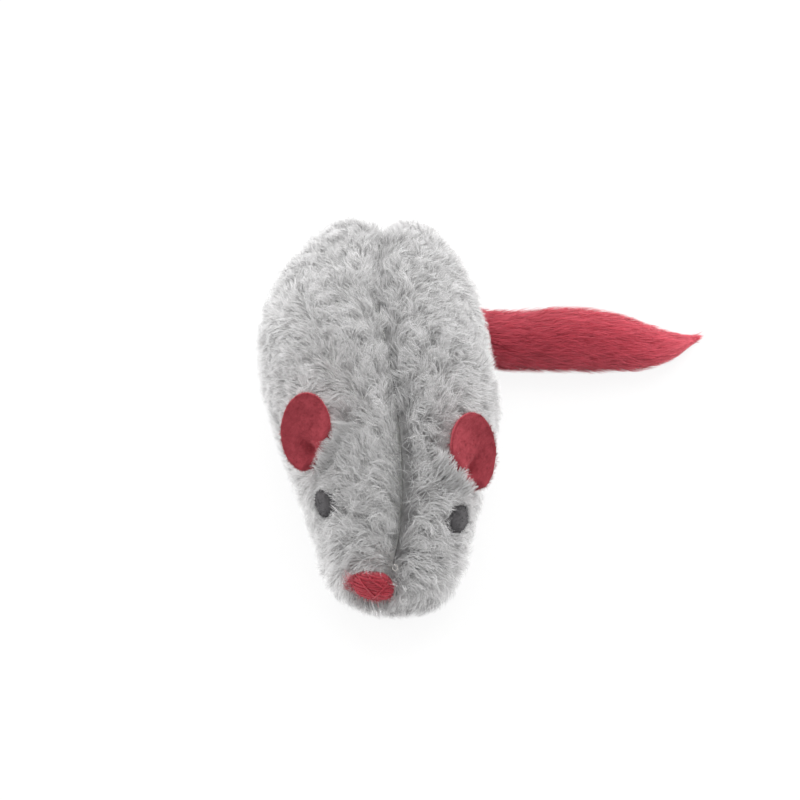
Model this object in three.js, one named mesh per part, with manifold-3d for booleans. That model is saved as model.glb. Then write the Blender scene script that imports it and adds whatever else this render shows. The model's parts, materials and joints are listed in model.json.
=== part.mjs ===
// A stuffed plush mouse for a cat: a furry body of two sides and a belly, felt ears and eyes,
// a stitched nose, and a soft fur tail sewn in at the back and bent round to the mouse's left.
// Millimetres, +Z up, nose towards -Y, the mouse's left towards +X.
// The origin is the centre of the flat patch that the belly rests on.
import * as THREE from 'three';
import { mergeVertices } from 'three/addons/utils/BufferGeometryUtils.js';
import Module from 'manifold-3d';

const wasm = await Module();
wasm.setup();

const degree = Math.PI / 180;

// Body, measured over the lie of the pile
const bodyLength = 91.6;
const bodyWidth = 47.4;
const bodyHeight = 41.8;
const flatCut = 0.5; // depth that the belly is cut flat where it rests
const plush = 3.2; // pile and backing cloth together, at the fullest section
const touch = 0.3; // gap between pieces that touch
const bellySeamHeight = 3.4; // height of the seam round the belly panel
const valleyDepth = 2.6; // how deep the back seam pulls in at the rear
const valleyWidth = 3.2; // how far from the seam the pull reaches

// Sewing thread
const thread = 0.5;
const seamStitch = 2.2; // length of one stitch in the hand-sewn places
const earStitches = 3;
const earStitchAhead = 2.2; // how far the stitches lie ahead of the ear's held edge
const closingStitches = 4;
const threadSink = 1.3; // depth of the belly seam's thread below the surface

// Felt ears: ovals held along one edge
const feltThickness = 1.2;
const earWidth = 9.9;
const earHeight = 15.6;
const earOvalSide = 2.5; // from the middle of the held edge to the oval's centre, along the edge
const earOvalOut = 3.8; // the same, away from the edge
const earLift = 0.22; // more room under the straight held edge, because the head is round
const earSpin = 63; // degrees that the held edge leans over in the ear's plane
const earTilt = 31; // degrees that the face of the ear looks up

// Felt eyes
const eyeWidth = 4.8;
const eyeHeight = 6.3;
const eyeThickness = 0.9;

// Nose: a patch under satin stitches
const noseWidth = 8.6;
const noseHeight = 6;
const noseThickness = 1;
const noseTilt = 18; // degrees that the nose looks up
const noseTurn = -16; // degrees that it looks to the mouse's right
const noseStitches = 6;

// Tail: a fur sleeve, a thin gathered root and a full end
const tailRootThickness = 8.4;
const tailThickness = 13.2;
const tailEndLength = 47;
const tailReachOut = 24.8; // from the root to the bend, along +X
const tailReachForward = 12.4; // the same, along -Y
const tailRootLeave = 44; // degrees that the root first points back from +X
const tailRootArrive = -4; // degrees that it points to at the bend
const tailKnuckle = 11.8; // diameter of the full end's rounded head at the bend
const tailRootSink = 2.8; // how far the root's round end goes into the body
const tailFloorGap = 0.3; // under the tail, so that the mouse rests on its belly

// Filling
const pouchLength = 24;
const pouchWidth = 16;
const pouchHeight = 9;
const pouchCloth = 0.6;
const pouchMouth = 5; // width of the open end of the sachet
const fillingSlot = 6; // width of the slot that the filling closed behind the sachet

// Fineness of the curved surfaces
const bodyRows = 28;
const bodyColumns = 34;
const innerRows = 16;
const innerColumns = 20;
const tubeSides = 12;
const threadSides = 6;
const ballSides = 18;
const backSeamSteps = 32;
const bellySeamSteps = 60;
const pillowRows = 10;
const ovalSteps = 14;
const earSteps = 28;
const halvings = 30; // steps that close in on the belly seam's ends
const overrun = 4; // how far a cutting block passes the piece that it cuts
const samePoint = 1e-5; // corners closer than this are one corner

// The body's sections from the nose end to the tail end. Shares of the length from the middle,
// of half the width, of the height at the top, of the height at the underside, and of the width
// for the sideways bend of the body and for the place of the back seam beside its middle.
const sectionShares = [
  { at: -0.5, half: 0.14, top: 0.35, low: 0.28, bend: 0.052, seam: 0 },
  { at: -0.475, half: 0.38, top: 0.43, low: 0.14, bend: 0.05, seam: 0.01 },
  { at: -0.41, half: 0.56, top: 0.57, low: 0.03, bend: 0.046, seam: 0.035 },
  { at: -0.305, half: 0.68, top: 0.735, low: 0, bend: 0.042, seam: 0.05 },
  { at: -0.165, half: 0.835, top: 0.865, low: 0, bend: 0.026, seam: 0.026 },
  { at: 0, half: 0.975, top: 0.96, low: 0, bend: 0, seam: 0.022 },
  { at: 0.14, half: 1, top: 1, low: 0, bend: -0.034, seam: 0.022 },
  { at: 0.285, half: 0.945, top: 0.97, low: 0, bend: -0.042, seam: 0.026 },
  { at: 0.39, half: 0.77, top: 0.91, low: 0.03, bend: -0.033, seam: 0.03 },
  { at: 0.46, half: 0.52, top: 0.8, low: 0.17, bend: -0.025, seam: 0.028 },
  { at: 0.5, half: 0.09, top: 0.565, low: 0.44, bend: -0.02, seam: 0.028 },
];
const widestShare = 0.45; // height of a section's widest place, as a share of its height
const topRound = 2.1; // roundness of a section's upper half, 2 being an ellipse
const lowRound = 2.5; // roundness of its lower half
const valleyRearShare = 0.75; // place along the back where the seam pulls in most
const valleyNoseDepthShare = 0.35; // how much of the pull is left at the nose end

// Places on the body: share of the way along it, and degrees round it from the top. An ear's turn is
// about the upright, and leans are degrees that an oval is turned in its own plane.
const eyePlaces = {
  left: { alongShare: 0.244, round: 58.8, lean: -100 },
  right: { alongShare: 0.27, round: -57.2, lean: 98 },
};
const earPlaces = {
  left: { alongShare: 0.322, round: 55, turn: 30, lean: -31 },
  right: { alongShare: 0.35, round: -49, turn: -6, lean: 22 },
};
const middleShare = 0.5;
const backSeamEndShares = [0.05, 0.93];
const bellySeamGapShare = 0.04; // part of the belly seam's round that is left open behind
const tailAlongShare = 0.925; // place along the underside where the tail leaves
const tailThreadShare = 0.27; // place of the gathering thread along the tail's root
const tailHeightShare = 0.1675; // height of the root's middle above the floor, of the body's height
const tailPullShares = [0.5, 0.33]; // how strongly the root follows its two end directions
// The full end from the bend to the tip: its thickness, and how far it drifts to the rear, both as
// shares of the full thickness. It lies on the floor all the way.
const tailSwellShares = [0.91, 0.93, 0.98, 0.99, 0.91, 0.73, 0.44, 0.06];
const tailDriftShares = [0, 0, 0, 0, -0.01, -0.04, 0.12, 0.52];
const pillowEndShare = 0.04;
const pouchHeightShare = 0.4; // height of the sachet's middle, as a share of the body's
const nosePlace = { sideShare: -0.095, heightShare: 0.345 }; // of the body's width and height

const furGrey = new THREE.MeshStandardMaterial({ color: 0xb4b3b1, roughness: 0.95, metalness: 0 });
const furRed = new THREE.MeshStandardMaterial({ color: 0xb23a4c, roughness: 0.95, metalness: 0 });
const feltRed = new THREE.MeshStandardMaterial({ color: 0xa03342, roughness: 0.98, metalness: 0 });
const feltDark = new THREE.MeshStandardMaterial({ color: 0x464546, roughness: 0.98, metalness: 0 });
const threadGrey = new THREE.MeshStandardMaterial({ color: 0xa9a7a4, roughness: 0.8, metalness: 0 });
const threadRed = new THREE.MeshStandardMaterial({ color: 0xc02a38, roughness: 0.7, metalness: 0 });
const fibreWhite = new THREE.MeshStandardMaterial({ color: 0xf0efec, roughness: 1, metalness: 0 });
const sachetCloth = new THREE.MeshStandardMaterial({ color: 0xe6e1d6, roughness: 0.9, metalness: 0 });
const driedHerb = new THREE.MeshStandardMaterial({ color: 0x6f7446, roughness: 1, metalness: 0 });

// Solids and booleans

function solidOf(geometry) {
  const bare = geometry.clone();
  bare.deleteAttribute('normal');
  bare.deleteAttribute('uv');
  const merged = mergeVertices(bare, samePoint);
  return new wasm.Manifold(new wasm.Mesh({
    numProp: 3,
    vertProperties: new Float32Array(merged.attributes.position.array),
    triVerts: new Uint32Array(merged.index.array),
  }));
}

function geometryOf(solid) {
  const mesh = solid.getMesh();
  const geometry = new THREE.BufferGeometry();
  geometry.setAttribute('position', new THREE.BufferAttribute(mesh.vertProperties, 3));
  geometry.setIndex(new THREE.BufferAttribute(mesh.triVerts, 1));
  return geometry;
}

// The largest body of a solid, without the crumbs that a cut can leave beside it
function mainBody(solid) {
  return solid.decompose().reduce((best, body) => (body.volume() > best.volume() ? body : best));
}

function blockBetween(low, high) {
  const box = new THREE.BoxGeometry(high.x - low.x, high.y - low.y, high.z - low.z);
  box.translate((low.x + high.x) / 2, (low.y + high.y) / 2, (low.z + high.z) / 2);
  return solidOf(box);
}

// A closed skin through rings of points, all with the same count, with a fan at each end
function skinOver(rings) {
  const count = rings[0].length;
  const points = rings.flat();
  const middleOf = (ring) => ring
    .reduce((sum, point) => sum.add(point), new THREE.Vector3())
    .divideScalar(count);
  points.push(middleOf(rings[0]), middleOf(rings[rings.length - 1]));
  const firstMiddle = points.length - 2;
  const lastMiddle = points.length - 1;
  const faces = [];
  for (let j = 0; j < count; j += 1) {
    const next = (j + 1) % count;
    faces.push(firstMiddle, next, j);
    for (let i = 0; i < rings.length - 1; i += 1) {
      const here = i * count;
      const there = here + count;
      faces.push(here + j, there + next, there + j, here + j, here + next, there + next);
    }
    const last = (rings.length - 1) * count;
    faces.push(lastMiddle, last + j, last + next);
  }
  const geometry = new THREE.BufferGeometry().setFromPoints(points);
  geometry.setIndex(faces);
  return geometry;
}

// The body's shape

const sectionPoints = (first, second, third) => sectionShares.map((share) => new THREE.Vector3(
  first(share),
  second(share),
  third(share),
));
const planLine = new THREE.CatmullRomCurve3(sectionPoints(
  (share) => (share.half * bodyWidth) / 2,
  (share) => share.at * bodyLength,
  (share) => share.bend * bodyWidth,
), false, 'catmullrom');
const sideLine = new THREE.CatmullRomCurve3(sectionPoints(
  (share) => share.seam * bodyWidth,
  (share) => share.low * (bodyHeight + flatCut) - flatCut,
  (share) => share.top * bodyHeight,
), false, 'catmullrom');

// Section at a share of the way from the nose end to the tail end. A positive inset gives the inside
// of the plush, which thins out where the body is narrow, and a negative one stands off the body.
function sectionAt(along, inset) {
  const plan = planLine.getPoint(along);
  const side = sideLine.getPoint(along);
  const shrink = (size) => (inset > 0 ? (size * size) / (size + inset) : size - inset);
  const middle = (side.z + side.y) / 2;
  const reach = shrink((side.z - side.y) / 2);
  return {
    y: plan.y * (1 - (2 * inset) / bodyLength),
    half: shrink(plan.x),
    top: middle + reach,
    low: middle - reach,
    bend: plan.z,
    seam: plan.z + side.x,
  };
}

const valleyAt = (along) => valleyDepth
  * Math.min(1, valleyNoseDepthShare + (1 - valleyNoseDepthShare) * (along / valleyRearShare));

// Point of the body's surface, round being the angle from the top, positive towards +X
function bodyPoint(along, round, inset) {
  const section = sectionAt(along, inset);
  const up = Math.cos(round);
  const out = Math.sin(round);
  const power = up >= 0 ? topRound : lowRound;
  const stretch = (Math.abs(up) ** power + Math.abs(out) ** power) ** (-1 / power);
  const middle = section.low + (section.top - section.low) * widestShare;
  const reach = up >= 0 ? section.top - middle : middle - section.low;
  const x = section.bend + section.half * out * stretch;
  const fromSeam = (x - section.seam) / valleyWidth;
  const pull = up > 0 ? Math.min(valleyAt(along), reach / 2) * Math.exp(-fromSeam * fromSeam) : 0;
  return new THREE.Vector3(x, section.y, middle + reach * up * stretch - pull);
}

function bodySkin(inset, rows, columns) {
  const rings = [];
  for (let i = 0; i <= rows; i += 1) {
    const ring = [];
    for (let j = 0; j < columns; j += 1) {
      ring.push(bodyPoint(i / rows, ((j + 0.5) / columns) * 2 * Math.PI, inset));
    }
    rings.push(ring);
  }
  return solidOf(skinOver(rings));
}

// Direction square to the body's surface, and the point there
function bodySeat(alongShare, round) {
  const step = 1 / bodyRows;
  const angle = round * degree;
  const forward = bodyPoint(alongShare - step, angle, 0).sub(bodyPoint(alongShare + step, angle, 0));
  const around = bodyPoint(alongShare, angle + step, 0).sub(bodyPoint(alongShare, angle - step, 0));
  return {
    point: bodyPoint(alongShare, angle, 0),
    normal: forward.cross(around).normalize(),
  };
}

// Frame with its Z along the given direction, its Y as near to up the body as that allows,
// turned about Z by a lean in degrees
function frameOn(point, normal, lean) {
  const across = new THREE.Vector3(0, 0, 1).cross(normal).normalize();
  const upward = normal.clone().cross(across);
  return new THREE.Matrix4()
    .makeTranslation(point.x, point.y, point.z)
    .multiply(new THREE.Matrix4().makeBasis(across, upward, normal))
    .multiply(new THREE.Matrix4().makeRotationZ(lean * degree));
}

const middleSection = sectionAt(0.5, 0);
const floorCut = blockBetween(
  new THREE.Vector3(-bodyWidth, -bodyLength, -bodyHeight),
  new THREE.Vector3(bodyWidth, bodyLength, 0),
);
const bodyOuter = bodySkin(0, bodyRows, bodyColumns).subtract(floorCut);
const bodyInner = bodySkin(plush, innerRows, innerColumns);

// A flat outline laid over the body like a patch, between two heights above its surface
function patchOver(outline, frame, fromHeight, toHeight) {
  const reach = noseWidth;
  const prism = new THREE.ExtrudeGeometry(outline, {
    depth: reach,
    bevelEnabled: false,
    curveSegments: ovalSteps,
  });
  prism.translate(0, 0, -reach / 2);
  prism.applyMatrix4(frame);
  return solidOf(prism)
    .intersect(bodySkin(-toHeight, bodyRows, bodyColumns))
    .subtract(bodySkin(-fromHeight, bodyRows, bodyColumns));
}

// Outline of one running zigzag of thread, as many stitches as fit in the length
function zigzagOutline(length, height, stitches) {
  const middles = [];
  for (let i = 0; i <= stitches; i += 1) {
    const side = i % 2 === 0 ? 1 : -1;
    middles.push(new THREE.Vector2(length * (i / stitches - 0.5), (side * height) / 2));
  }
  const upper = middles.map((point) => new THREE.Vector2(point.x, point.y + thread / 2));
  const lower = middles.map((point) => new THREE.Vector2(point.x, point.y - thread / 2));
  return new THREE.Shape([...lower, ...upper.reverse()]);
}

// A tube of even or changing thickness along a curve, its ends closed
function tubeAlong(curve, steps, sides, radiusAt) {
  const frames = curve.computeFrenetFrames(steps, false);
  const rings = [];
  for (let i = 0; i <= steps; i += 1) {
    const middle = curve.getPointAt(i / steps);
    const ring = [];
    for (let j = 0; j < sides; j += 1) {
      const angle = (j / sides) * 2 * Math.PI;
      const radius = radiusAt(i / steps);
      ring.push(middle.clone()
        .addScaledVector(frames.normals[i], Math.cos(angle) * radius)
        .addScaledVector(frames.binormals[i], Math.sin(angle) * radius));
    }
    rings.push(ring);
  }
  return solidOf(skinOver(rings));
}

function ballAt(point, radius) {
  const ball = new THREE.SphereGeometry(radius, ballSides, ballSides / 2);
  ball.translate(point.x, point.y, point.z);
  return solidOf(ball);
}

const model = new THREE.Group();

function addPiece(name, geometry, material, parent = model) {
  const mesh = new THREE.Mesh(geometry, material);
  mesh.name = name;
  parent.add(mesh);
  return mesh;
}

// Tail: root and bend, as points

const underRear = bodyPoint(tailAlongShare, Math.PI, 0);
const tailRootPoint = new THREE.Vector3(
  underRear.x,
  underRear.y + tailRootThickness / 2 - tailRootSink,
  bodyHeight * tailHeightShare,
);
const bendPoint = new THREE.Vector3(
  tailRootPoint.x + tailReachOut,
  tailRootPoint.y - tailReachForward,
  tailThickness / 2 + tailFloorGap,
);

const tailRoom = ballAt(tailRootPoint, tailRootThickness / 2 + touch);
const alongFloor = (degrees) => new THREE.Vector3(Math.cos(degrees * degree), Math.sin(degrees * degree), 0);
const tailSpan = tailRootPoint.distanceTo(bendPoint);
const tailRootLine = new THREE.CubicBezierCurve3(
  tailRootPoint,
  tailRootPoint.clone().addScaledVector(alongFloor(tailRootLeave), tailSpan * tailPullShares[0]),
  bendPoint.clone().addScaledVector(alongFloor(tailRootArrive), -tailSpan * tailPullShares[1]),
  bendPoint,
);

// Ring of thread that gathers the tail's root, of the given thickness
function tailRing(thickness) {
  const ring = new THREE.TorusGeometry(tailRootThickness / 2, thickness / 2, threadSides, 2 * tubeSides);
  const toward = tailRootLine.getTangentAt(tailThreadShare);
  ring.applyQuaternion(new THREE.Quaternion().setFromUnitVectors(new THREE.Vector3(0, 0, 1), toward));
  ring.translate(...tailRootLine.getPointAt(tailThreadShare).toArray());
  return solidOf(ring);
}

function tailRootSolid() {
  return tubeAlong(tailRootLine, tubeSides, tubeSides, () => tailRootThickness / 2)
    .add(ballAt(tailRootPoint, tailRootThickness / 2))
    .subtract(ballAt(bendPoint, tailKnuckle / 2 + touch))
    .subtract(bodySkin(-touch, bodyRows, bodyColumns).subtract(tailRoom))
    .subtract(tailRing(thread + 2 * touch));
}

function tailEndSolid() {
  const last = tailSwellShares.length - 1;
  const line = new THREE.CatmullRomCurve3(tailSwellShares.map((swell, i) => new THREE.Vector3(
    bendPoint.x + (i / last) * tailEndLength,
    bendPoint.y + tailDriftShares[i] * tailThickness,
    (swell * tailThickness) / 2 + tailFloorGap,
  )));
  const sleeve = tubeAlong(line, last * 2, tubeSides, (share) => {
    const place = line.getUtoTmapping(share) * last;
    const before = Math.min(Math.floor(place), last - 1);
    const swell = THREE.MathUtils.lerp(tailSwellShares[before], tailSwellShares[before + 1], place - before);
    return (swell * tailThickness) / 2;
  });
  return sleeve.add(ballAt(bendPoint, tailKnuckle / 2));
}

// Sides and belly of the body

// Point of the back where the seam runs
function backSeamPoint(along, inset) {
  const section = sectionAt(along, inset);
  const out = (section.seam - section.bend) / section.half;
  const up = (1 - Math.abs(out) ** topRound) ** (1 / topRound);
  return bodyPoint(along, Math.atan2(out, up), inset);
}

// How far below a section's widest place the belly seam lies, 1 being the section's underside
function bellySeamDrop(along, inset) {
  const section = sectionAt(along, inset);
  const middle = section.low + (section.top - section.low) * widestShare;
  return (middle - bellySeamHeight) / (middle - section.low);
}

function bellySeamPoint(along, side, inset) {
  const down = Math.min(1, bellySeamDrop(along, inset));
  const out = (1 - down ** lowRound) ** (1 / lowRound);
  return bodyPoint(along, Math.atan2(side * out, -down), inset);
}

// Place along the body, between two shares, where the belly seam meets itself under the body
function bellySeamEnd(outside, inside, inset) {
  let [high, deep] = [outside, inside];
  for (let i = 0; i < halvings; i += 1) {
    const middle = (high + deep) / 2;
    if (bellySeamDrop(middle, inset) < 1) deep = middle;
    else high = middle;
  }
  return deep;
}

const backSeamPoints = [];
for (let i = 0; i <= backSeamSteps; i += 1) {
  const along = THREE.MathUtils.lerp(backSeamEndShares[0], backSeamEndShares[1], i / backSeamSteps);
  backSeamPoints.push(backSeamPoint(along, 0));
}
const backSeamLine = new THREE.CatmullRomCurve3(backSeamPoints);

const bellySeamFront = bellySeamEnd(0, middleShare, threadSink);
const bellySeamRear = bellySeamEnd(1, middleShare, threadSink);
const bellySeamPoints = [];
for (let i = 0; i <= bellySeamSteps; i += 1) {
  const round = THREE.MathUtils.lerp(bellySeamGapShare, 1 - bellySeamGapShare, i / bellySeamSteps);
  const turn = round * 2 * Math.PI;
  const reach = (1 + Math.cos(turn)) / 2;
  const along = THREE.MathUtils.lerp(bellySeamFront, bellySeamRear, reach);
  bellySeamPoints.push(bellySeamPoint(along, Math.sign(Math.sin(turn)), threadSink));
}
const bellySeamLine = new THREE.CatmullRomCurve3(bellySeamPoints);

const threadTube = (line, steps, radius) => tubeAlong(line, steps, threadSides, () => radius);
const backThread = threadTube(backSeamLine, backSeamSteps, thread / 2);
const bellyThread = threadTube(bellySeamLine, bellySeamSteps, thread / 2);
const threadRoom = threadTube(backSeamLine, backSeamSteps, thread / 2 + touch)
  .add(threadTube(bellySeamLine, bellySeamSteps, thread / 2 + touch));

// Everything on one side of the back seam, above the belly seam
function sideRegion(side) {
  const reach = side * bodyWidth;
  const edge = [];
  for (let i = 0; i <= bodyRows; i += 1) {
    const section = sectionAt(i / bodyRows, 0);
    edge.push(new THREE.Vector2(section.seam + (side * touch) / 2, section.y));
  }
  const first = edge[0];
  const last = edge[bodyRows];
  const outline = new THREE.Shape([
    new THREE.Vector2(first.x, first.y - overrun),
    ...edge,
    new THREE.Vector2(last.x, last.y + overrun),
    new THREE.Vector2(reach, last.y + overrun),
    new THREE.Vector2(reach, first.y - overrun),
  ]);
  const region = new THREE.ExtrudeGeometry(outline, { depth: bodyHeight + overrun, bevelEnabled: false });
  region.translate(0, 0, bellySeamHeight + touch / 2);
  return solidOf(region);
}

const bellyRegion = blockBetween(
  new THREE.Vector3(-bodyWidth, -bodyLength, -overrun),
  new THREE.Vector3(bodyWidth, bodyLength, bellySeamHeight - touch / 2),
);
const shell = bodyOuter.subtract(bodyInner).subtract(tailRoom).subtract(threadRoom);

// Filling

// A closed pillow, its seams round the edge
function pillow(length, width, height) {
  const rings = [];
  for (let i = 0; i <= pillowRows; i += 1) {
    const turn = THREE.MathUtils.lerp(pillowEndShare, 1 - pillowEndShare, i / pillowRows) * Math.PI;
    const reach = Math.sin(turn);
    const ring = [];
    for (let j = 0; j < tubeSides; j += 1) {
      const round = (j / tubeSides) * 2 * Math.PI;
      ring.push(new THREE.Vector3(
        (Math.sin(round) * Math.sqrt(reach) * width) / 2,
        (-Math.cos(turn) * length) / 2,
        (Math.cos(round) * reach * height) / 2,
      ));
    }
    rings.push(ring);
  }
  return solidOf(skinOver(rings));
}

const smaller = (gap) => pillow(pouchLength - 2 * gap, pouchWidth - 2 * gap, pouchHeight - 2 * gap);
const pouchMouthCut = blockBetween(
  new THREE.Vector3(-pouchMouth / 2, 0, -pouchCloth),
  new THREE.Vector3(pouchMouth / 2, pouchLength, pouchCloth),
);
const pouch = smaller(0).subtract(smaller(pouchCloth)).subtract(pouchMouthCut);
const herb = smaller(pouchCloth + touch);
const pouchPlace = new THREE.Vector3(
  middleSection.bend,
  middleSection.y,
  THREE.MathUtils.lerp(middleSection.low, middleSection.top, pouchHeightShare),
);
const slotCut = blockBetween(
  new THREE.Vector3(-fillingSlot / 2, 0, -pouchCloth),
  new THREE.Vector3(fillingSlot / 2, bodyLength, pouchCloth),
);
const pouchRoom = smaller(-touch).add(slotCut).translate(pouchPlace.toArray());
const stuffing = bodySkin(plush + touch, innerRows, innerColumns)
  .subtract(ballAt(tailRootPoint, tailRootThickness / 2 + 2 * touch))
  .subtract(threadRoom)
  .subtract(pouchRoom);

// Face

const ovalOutline = (width, height) =>
  new THREE.Shape().absellipse(0, 0, width / 2, height / 2, 0, 2 * Math.PI);

function eyeSolid(place) {
  const seat = bodySeat(place.alongShare, place.round);
  const frame = frameOn(seat.point, seat.normal, place.lean);
  return patchOver(ovalOutline(eyeWidth, eyeHeight), frame, touch, touch + eyeThickness);
}

const noseFrame = new THREE.Matrix4()
  .makeTranslation(
    sectionAt(0, 0).bend + nosePlace.sideShare * bodyWidth,
    -bodyLength / 2,
    nosePlace.heightShare * bodyHeight,
  )
  .multiply(new THREE.Matrix4().makeRotationZ(noseTurn * degree))
  .multiply(new THREE.Matrix4().makeRotationX((90 - noseTilt) * degree));
const nose = patchOver(ovalOutline(noseWidth, noseHeight), noseFrame, touch, touch + noseThickness);
const noseThreadFrom = 2 * touch + noseThickness;
const noseThread = patchOver(
  zigzagOutline(noseWidth - 2 * thread, noseHeight - 2 * thread, noseStitches),
  noseFrame,
  noseThreadFrom,
  noseThreadFrom + thread,
);

// An oval leaf of felt in its own plane, cut straight along X where it is sewn on. Its held edge
// is round, because the ear turns on it.
function earSolid(side, ovalLean) {
  const lean = ovalLean * degree;
  const across = (earHeight / 2) * Math.sin(lean);
  const upward = (earWidth / 2) * Math.cos(lean);
  const size = Math.hypot(across, upward);
  const peak = Math.atan2(upward, across);
  const spread = Math.acos(-earOvalOut / size);
  const outline = new THREE.Shape().absellipse(
    -side * earOvalSide,
    earOvalOut,
    earHeight / 2,
    earWidth / 2,
    peak - spread,
    peak + spread,
    false,
    lean,
  );
  const leaf = new THREE.ExtrudeGeometry(outline, {
    depth: feltThickness,
    bevelEnabled: false,
    curveSegments: earSteps,
  });
  leaf.translate(0, 0, -feltThickness / 2);
  const ends = outline.getPoints(2);
  const heldFrom = Math.min(ends[0].x, ends[ends.length - 1].x);
  const heldTo = Math.max(ends[0].x, ends[ends.length - 1].x);
  const edge = new THREE.CylinderGeometry(feltThickness / 2, feltThickness / 2, heldTo - heldFrom, tubeSides);
  edge.rotateZ(90 * degree);
  edge.translate((heldFrom + heldTo) / 2, 0, 0);
  return solidOf(leaf).add(solidOf(edge));
}

function addEar(side, name, place) {
  const seat = bodySeat(place.alongShare, place.round);
  const turned = new THREE.Group();
  turned.position.copy(seat.point).addScaledVector(seat.normal, feltThickness / 2 + touch + earLift);
  turned.rotation.z = place.turn * degree;
  const tilted = new THREE.Group();
  tilted.rotation.x = (90 - earTilt) * degree;
  turned.add(tilted);
  model.add(turned);
  const ear = addPiece(name, geometryOf(earSolid(side, place.lean)), feltRed, tilted);
  ear.rotation.z = -side * earSpin * degree;
  return ear;
}

// The few stitches in front of an ear's held edge
function addEarThread(name, ear, place) {
  ear.updateWorldMatrix(true, false);
  const edge = new THREE.Vector3().setFromMatrixColumn(ear.matrixWorld, 0);
  const seat = bodySeat(place.alongShare, place.round);
  const ahead = new THREE.Vector3().crossVectors(edge, seat.normal).normalize();
  if (ahead.y > 0) ahead.negate();
  const side = new THREE.Vector3().crossVectors(ahead, seat.normal);
  const frame = new THREE.Matrix4().makeBasis(side, ahead, seat.normal);
  frame.setPosition(seat.point.clone().addScaledVector(ahead, earStitchAhead));
  const outline = zigzagOutline(earStitches * seamStitch, seamStitch, earStitches);
  addPiece(name, geometryOf(patchOver(outline, frame, touch, touch + thread)), threadGrey);
}

// Hand stitches that close the rear end above the tail
function closingThread() {
  const rear = sectionAt(1, 0);
  const outline = zigzagOutline(closingStitches * seamStitch, seamStitch, closingStitches);
  const stitches = new THREE.ExtrudeGeometry(outline, { depth: thread, bevelEnabled: false });
  stitches.rotateZ(90 * degree);
  stitches.rotateX(-90 * degree);
  stitches.translate(rear.seam, rear.y + touch, (rear.low + rear.top) / 2);
  return stitches;
}

addPiece('side_panel_left', geometryOf(mainBody(shell.intersect(sideRegion(1)))), furGrey);
addPiece('side_panel_right', geometryOf(mainBody(shell.intersect(sideRegion(-1)))), furGrey);
addPiece('belly_panel', geometryOf(mainBody(shell.intersect(bellyRegion))), furGrey);
addPiece('stuffing', geometryOf(mainBody(stuffing)), fibreWhite);
addPiece('catnip_pouch', geometryOf(pouch.translate(pouchPlace.toArray())), sachetCloth);
addPiece('catnip', geometryOf(herb.translate(pouchPlace.toArray())), driedHerb);
addPiece('back_seam_thread', geometryOf(backThread), threadGrey);
addPiece('belly_seam_thread', geometryOf(bellyThread), threadGrey);
addPiece('closing_thread', closingThread(), threadGrey);
addEarThread('ear_thread_left', addEar(1, 'ear_left', earPlaces.left), earPlaces.left);
addEarThread('ear_thread_right', addEar(-1, 'ear_right', earPlaces.right), earPlaces.right);
addPiece('eye_left', geometryOf(eyeSolid(eyePlaces.left)), feltDark);
addPiece('eye_right', geometryOf(eyeSolid(eyePlaces.right)), feltDark);
addPiece('nose', geometryOf(nose), threadRed);
addPiece('nose_thread', geometryOf(noseThread), threadRed);
addPiece('tail_root', geometryOf(tailRootSolid()), furRed);
addPiece('tail_thread', geometryOf(tailRing(thread)), threadRed);
addPiece('tail_end', geometryOf(tailEndSolid()), furRed);

export default model;
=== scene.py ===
import json
import math

import bpy
import numpy as np
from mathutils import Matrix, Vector, noise
from mathutils.bvhtree import BVHTree


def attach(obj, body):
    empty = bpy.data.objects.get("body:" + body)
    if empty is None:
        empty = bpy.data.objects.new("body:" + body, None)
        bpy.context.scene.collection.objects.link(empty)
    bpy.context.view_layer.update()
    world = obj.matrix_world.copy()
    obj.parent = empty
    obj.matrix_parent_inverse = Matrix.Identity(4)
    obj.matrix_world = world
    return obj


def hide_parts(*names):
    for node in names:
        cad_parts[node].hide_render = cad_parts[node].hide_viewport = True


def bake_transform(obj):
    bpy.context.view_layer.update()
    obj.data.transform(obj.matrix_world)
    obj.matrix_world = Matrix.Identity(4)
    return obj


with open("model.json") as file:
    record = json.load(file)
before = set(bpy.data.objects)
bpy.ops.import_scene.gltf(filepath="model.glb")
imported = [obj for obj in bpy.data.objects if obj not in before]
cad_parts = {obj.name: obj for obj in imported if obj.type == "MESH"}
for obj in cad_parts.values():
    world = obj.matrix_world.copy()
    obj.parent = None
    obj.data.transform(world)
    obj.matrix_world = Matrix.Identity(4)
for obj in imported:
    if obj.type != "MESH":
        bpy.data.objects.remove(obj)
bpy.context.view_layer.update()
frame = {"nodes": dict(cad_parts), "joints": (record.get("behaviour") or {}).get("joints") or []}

# A stuffed plush mouse: grey pile, felt ears and eyes, a satin-stitched nose and a red fur tail.
# Sizes are millimetres until a mesh is made. The nose points to -Y, the tail lies towards +X.
MM = 0.001
DEGREE = math.pi / 180
draw = np.random.default_rng(27)

# Body: the sizes and sections of the solid one, but for the back seam, which lies up to 0.8 mm
# beside the solid one's
BODY_LENGTH = 91.6
BODY_WIDTH = 47.4
BODY_HEIGHT = 41.8
FLAT_CUT = 0.5
BELLY_SEAM_HEIGHT = 3.4
VALLEY_DEPTH = 2.6
VALLEY_WIDTH = 3.2
VALLEY_REAR_SHARE = 0.75
VALLEY_NOSE_SHARE = 0.35
WIDEST_SHARE = 0.45
TOP_ROUND = 2.1
LOW_ROUND = 2.5
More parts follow.
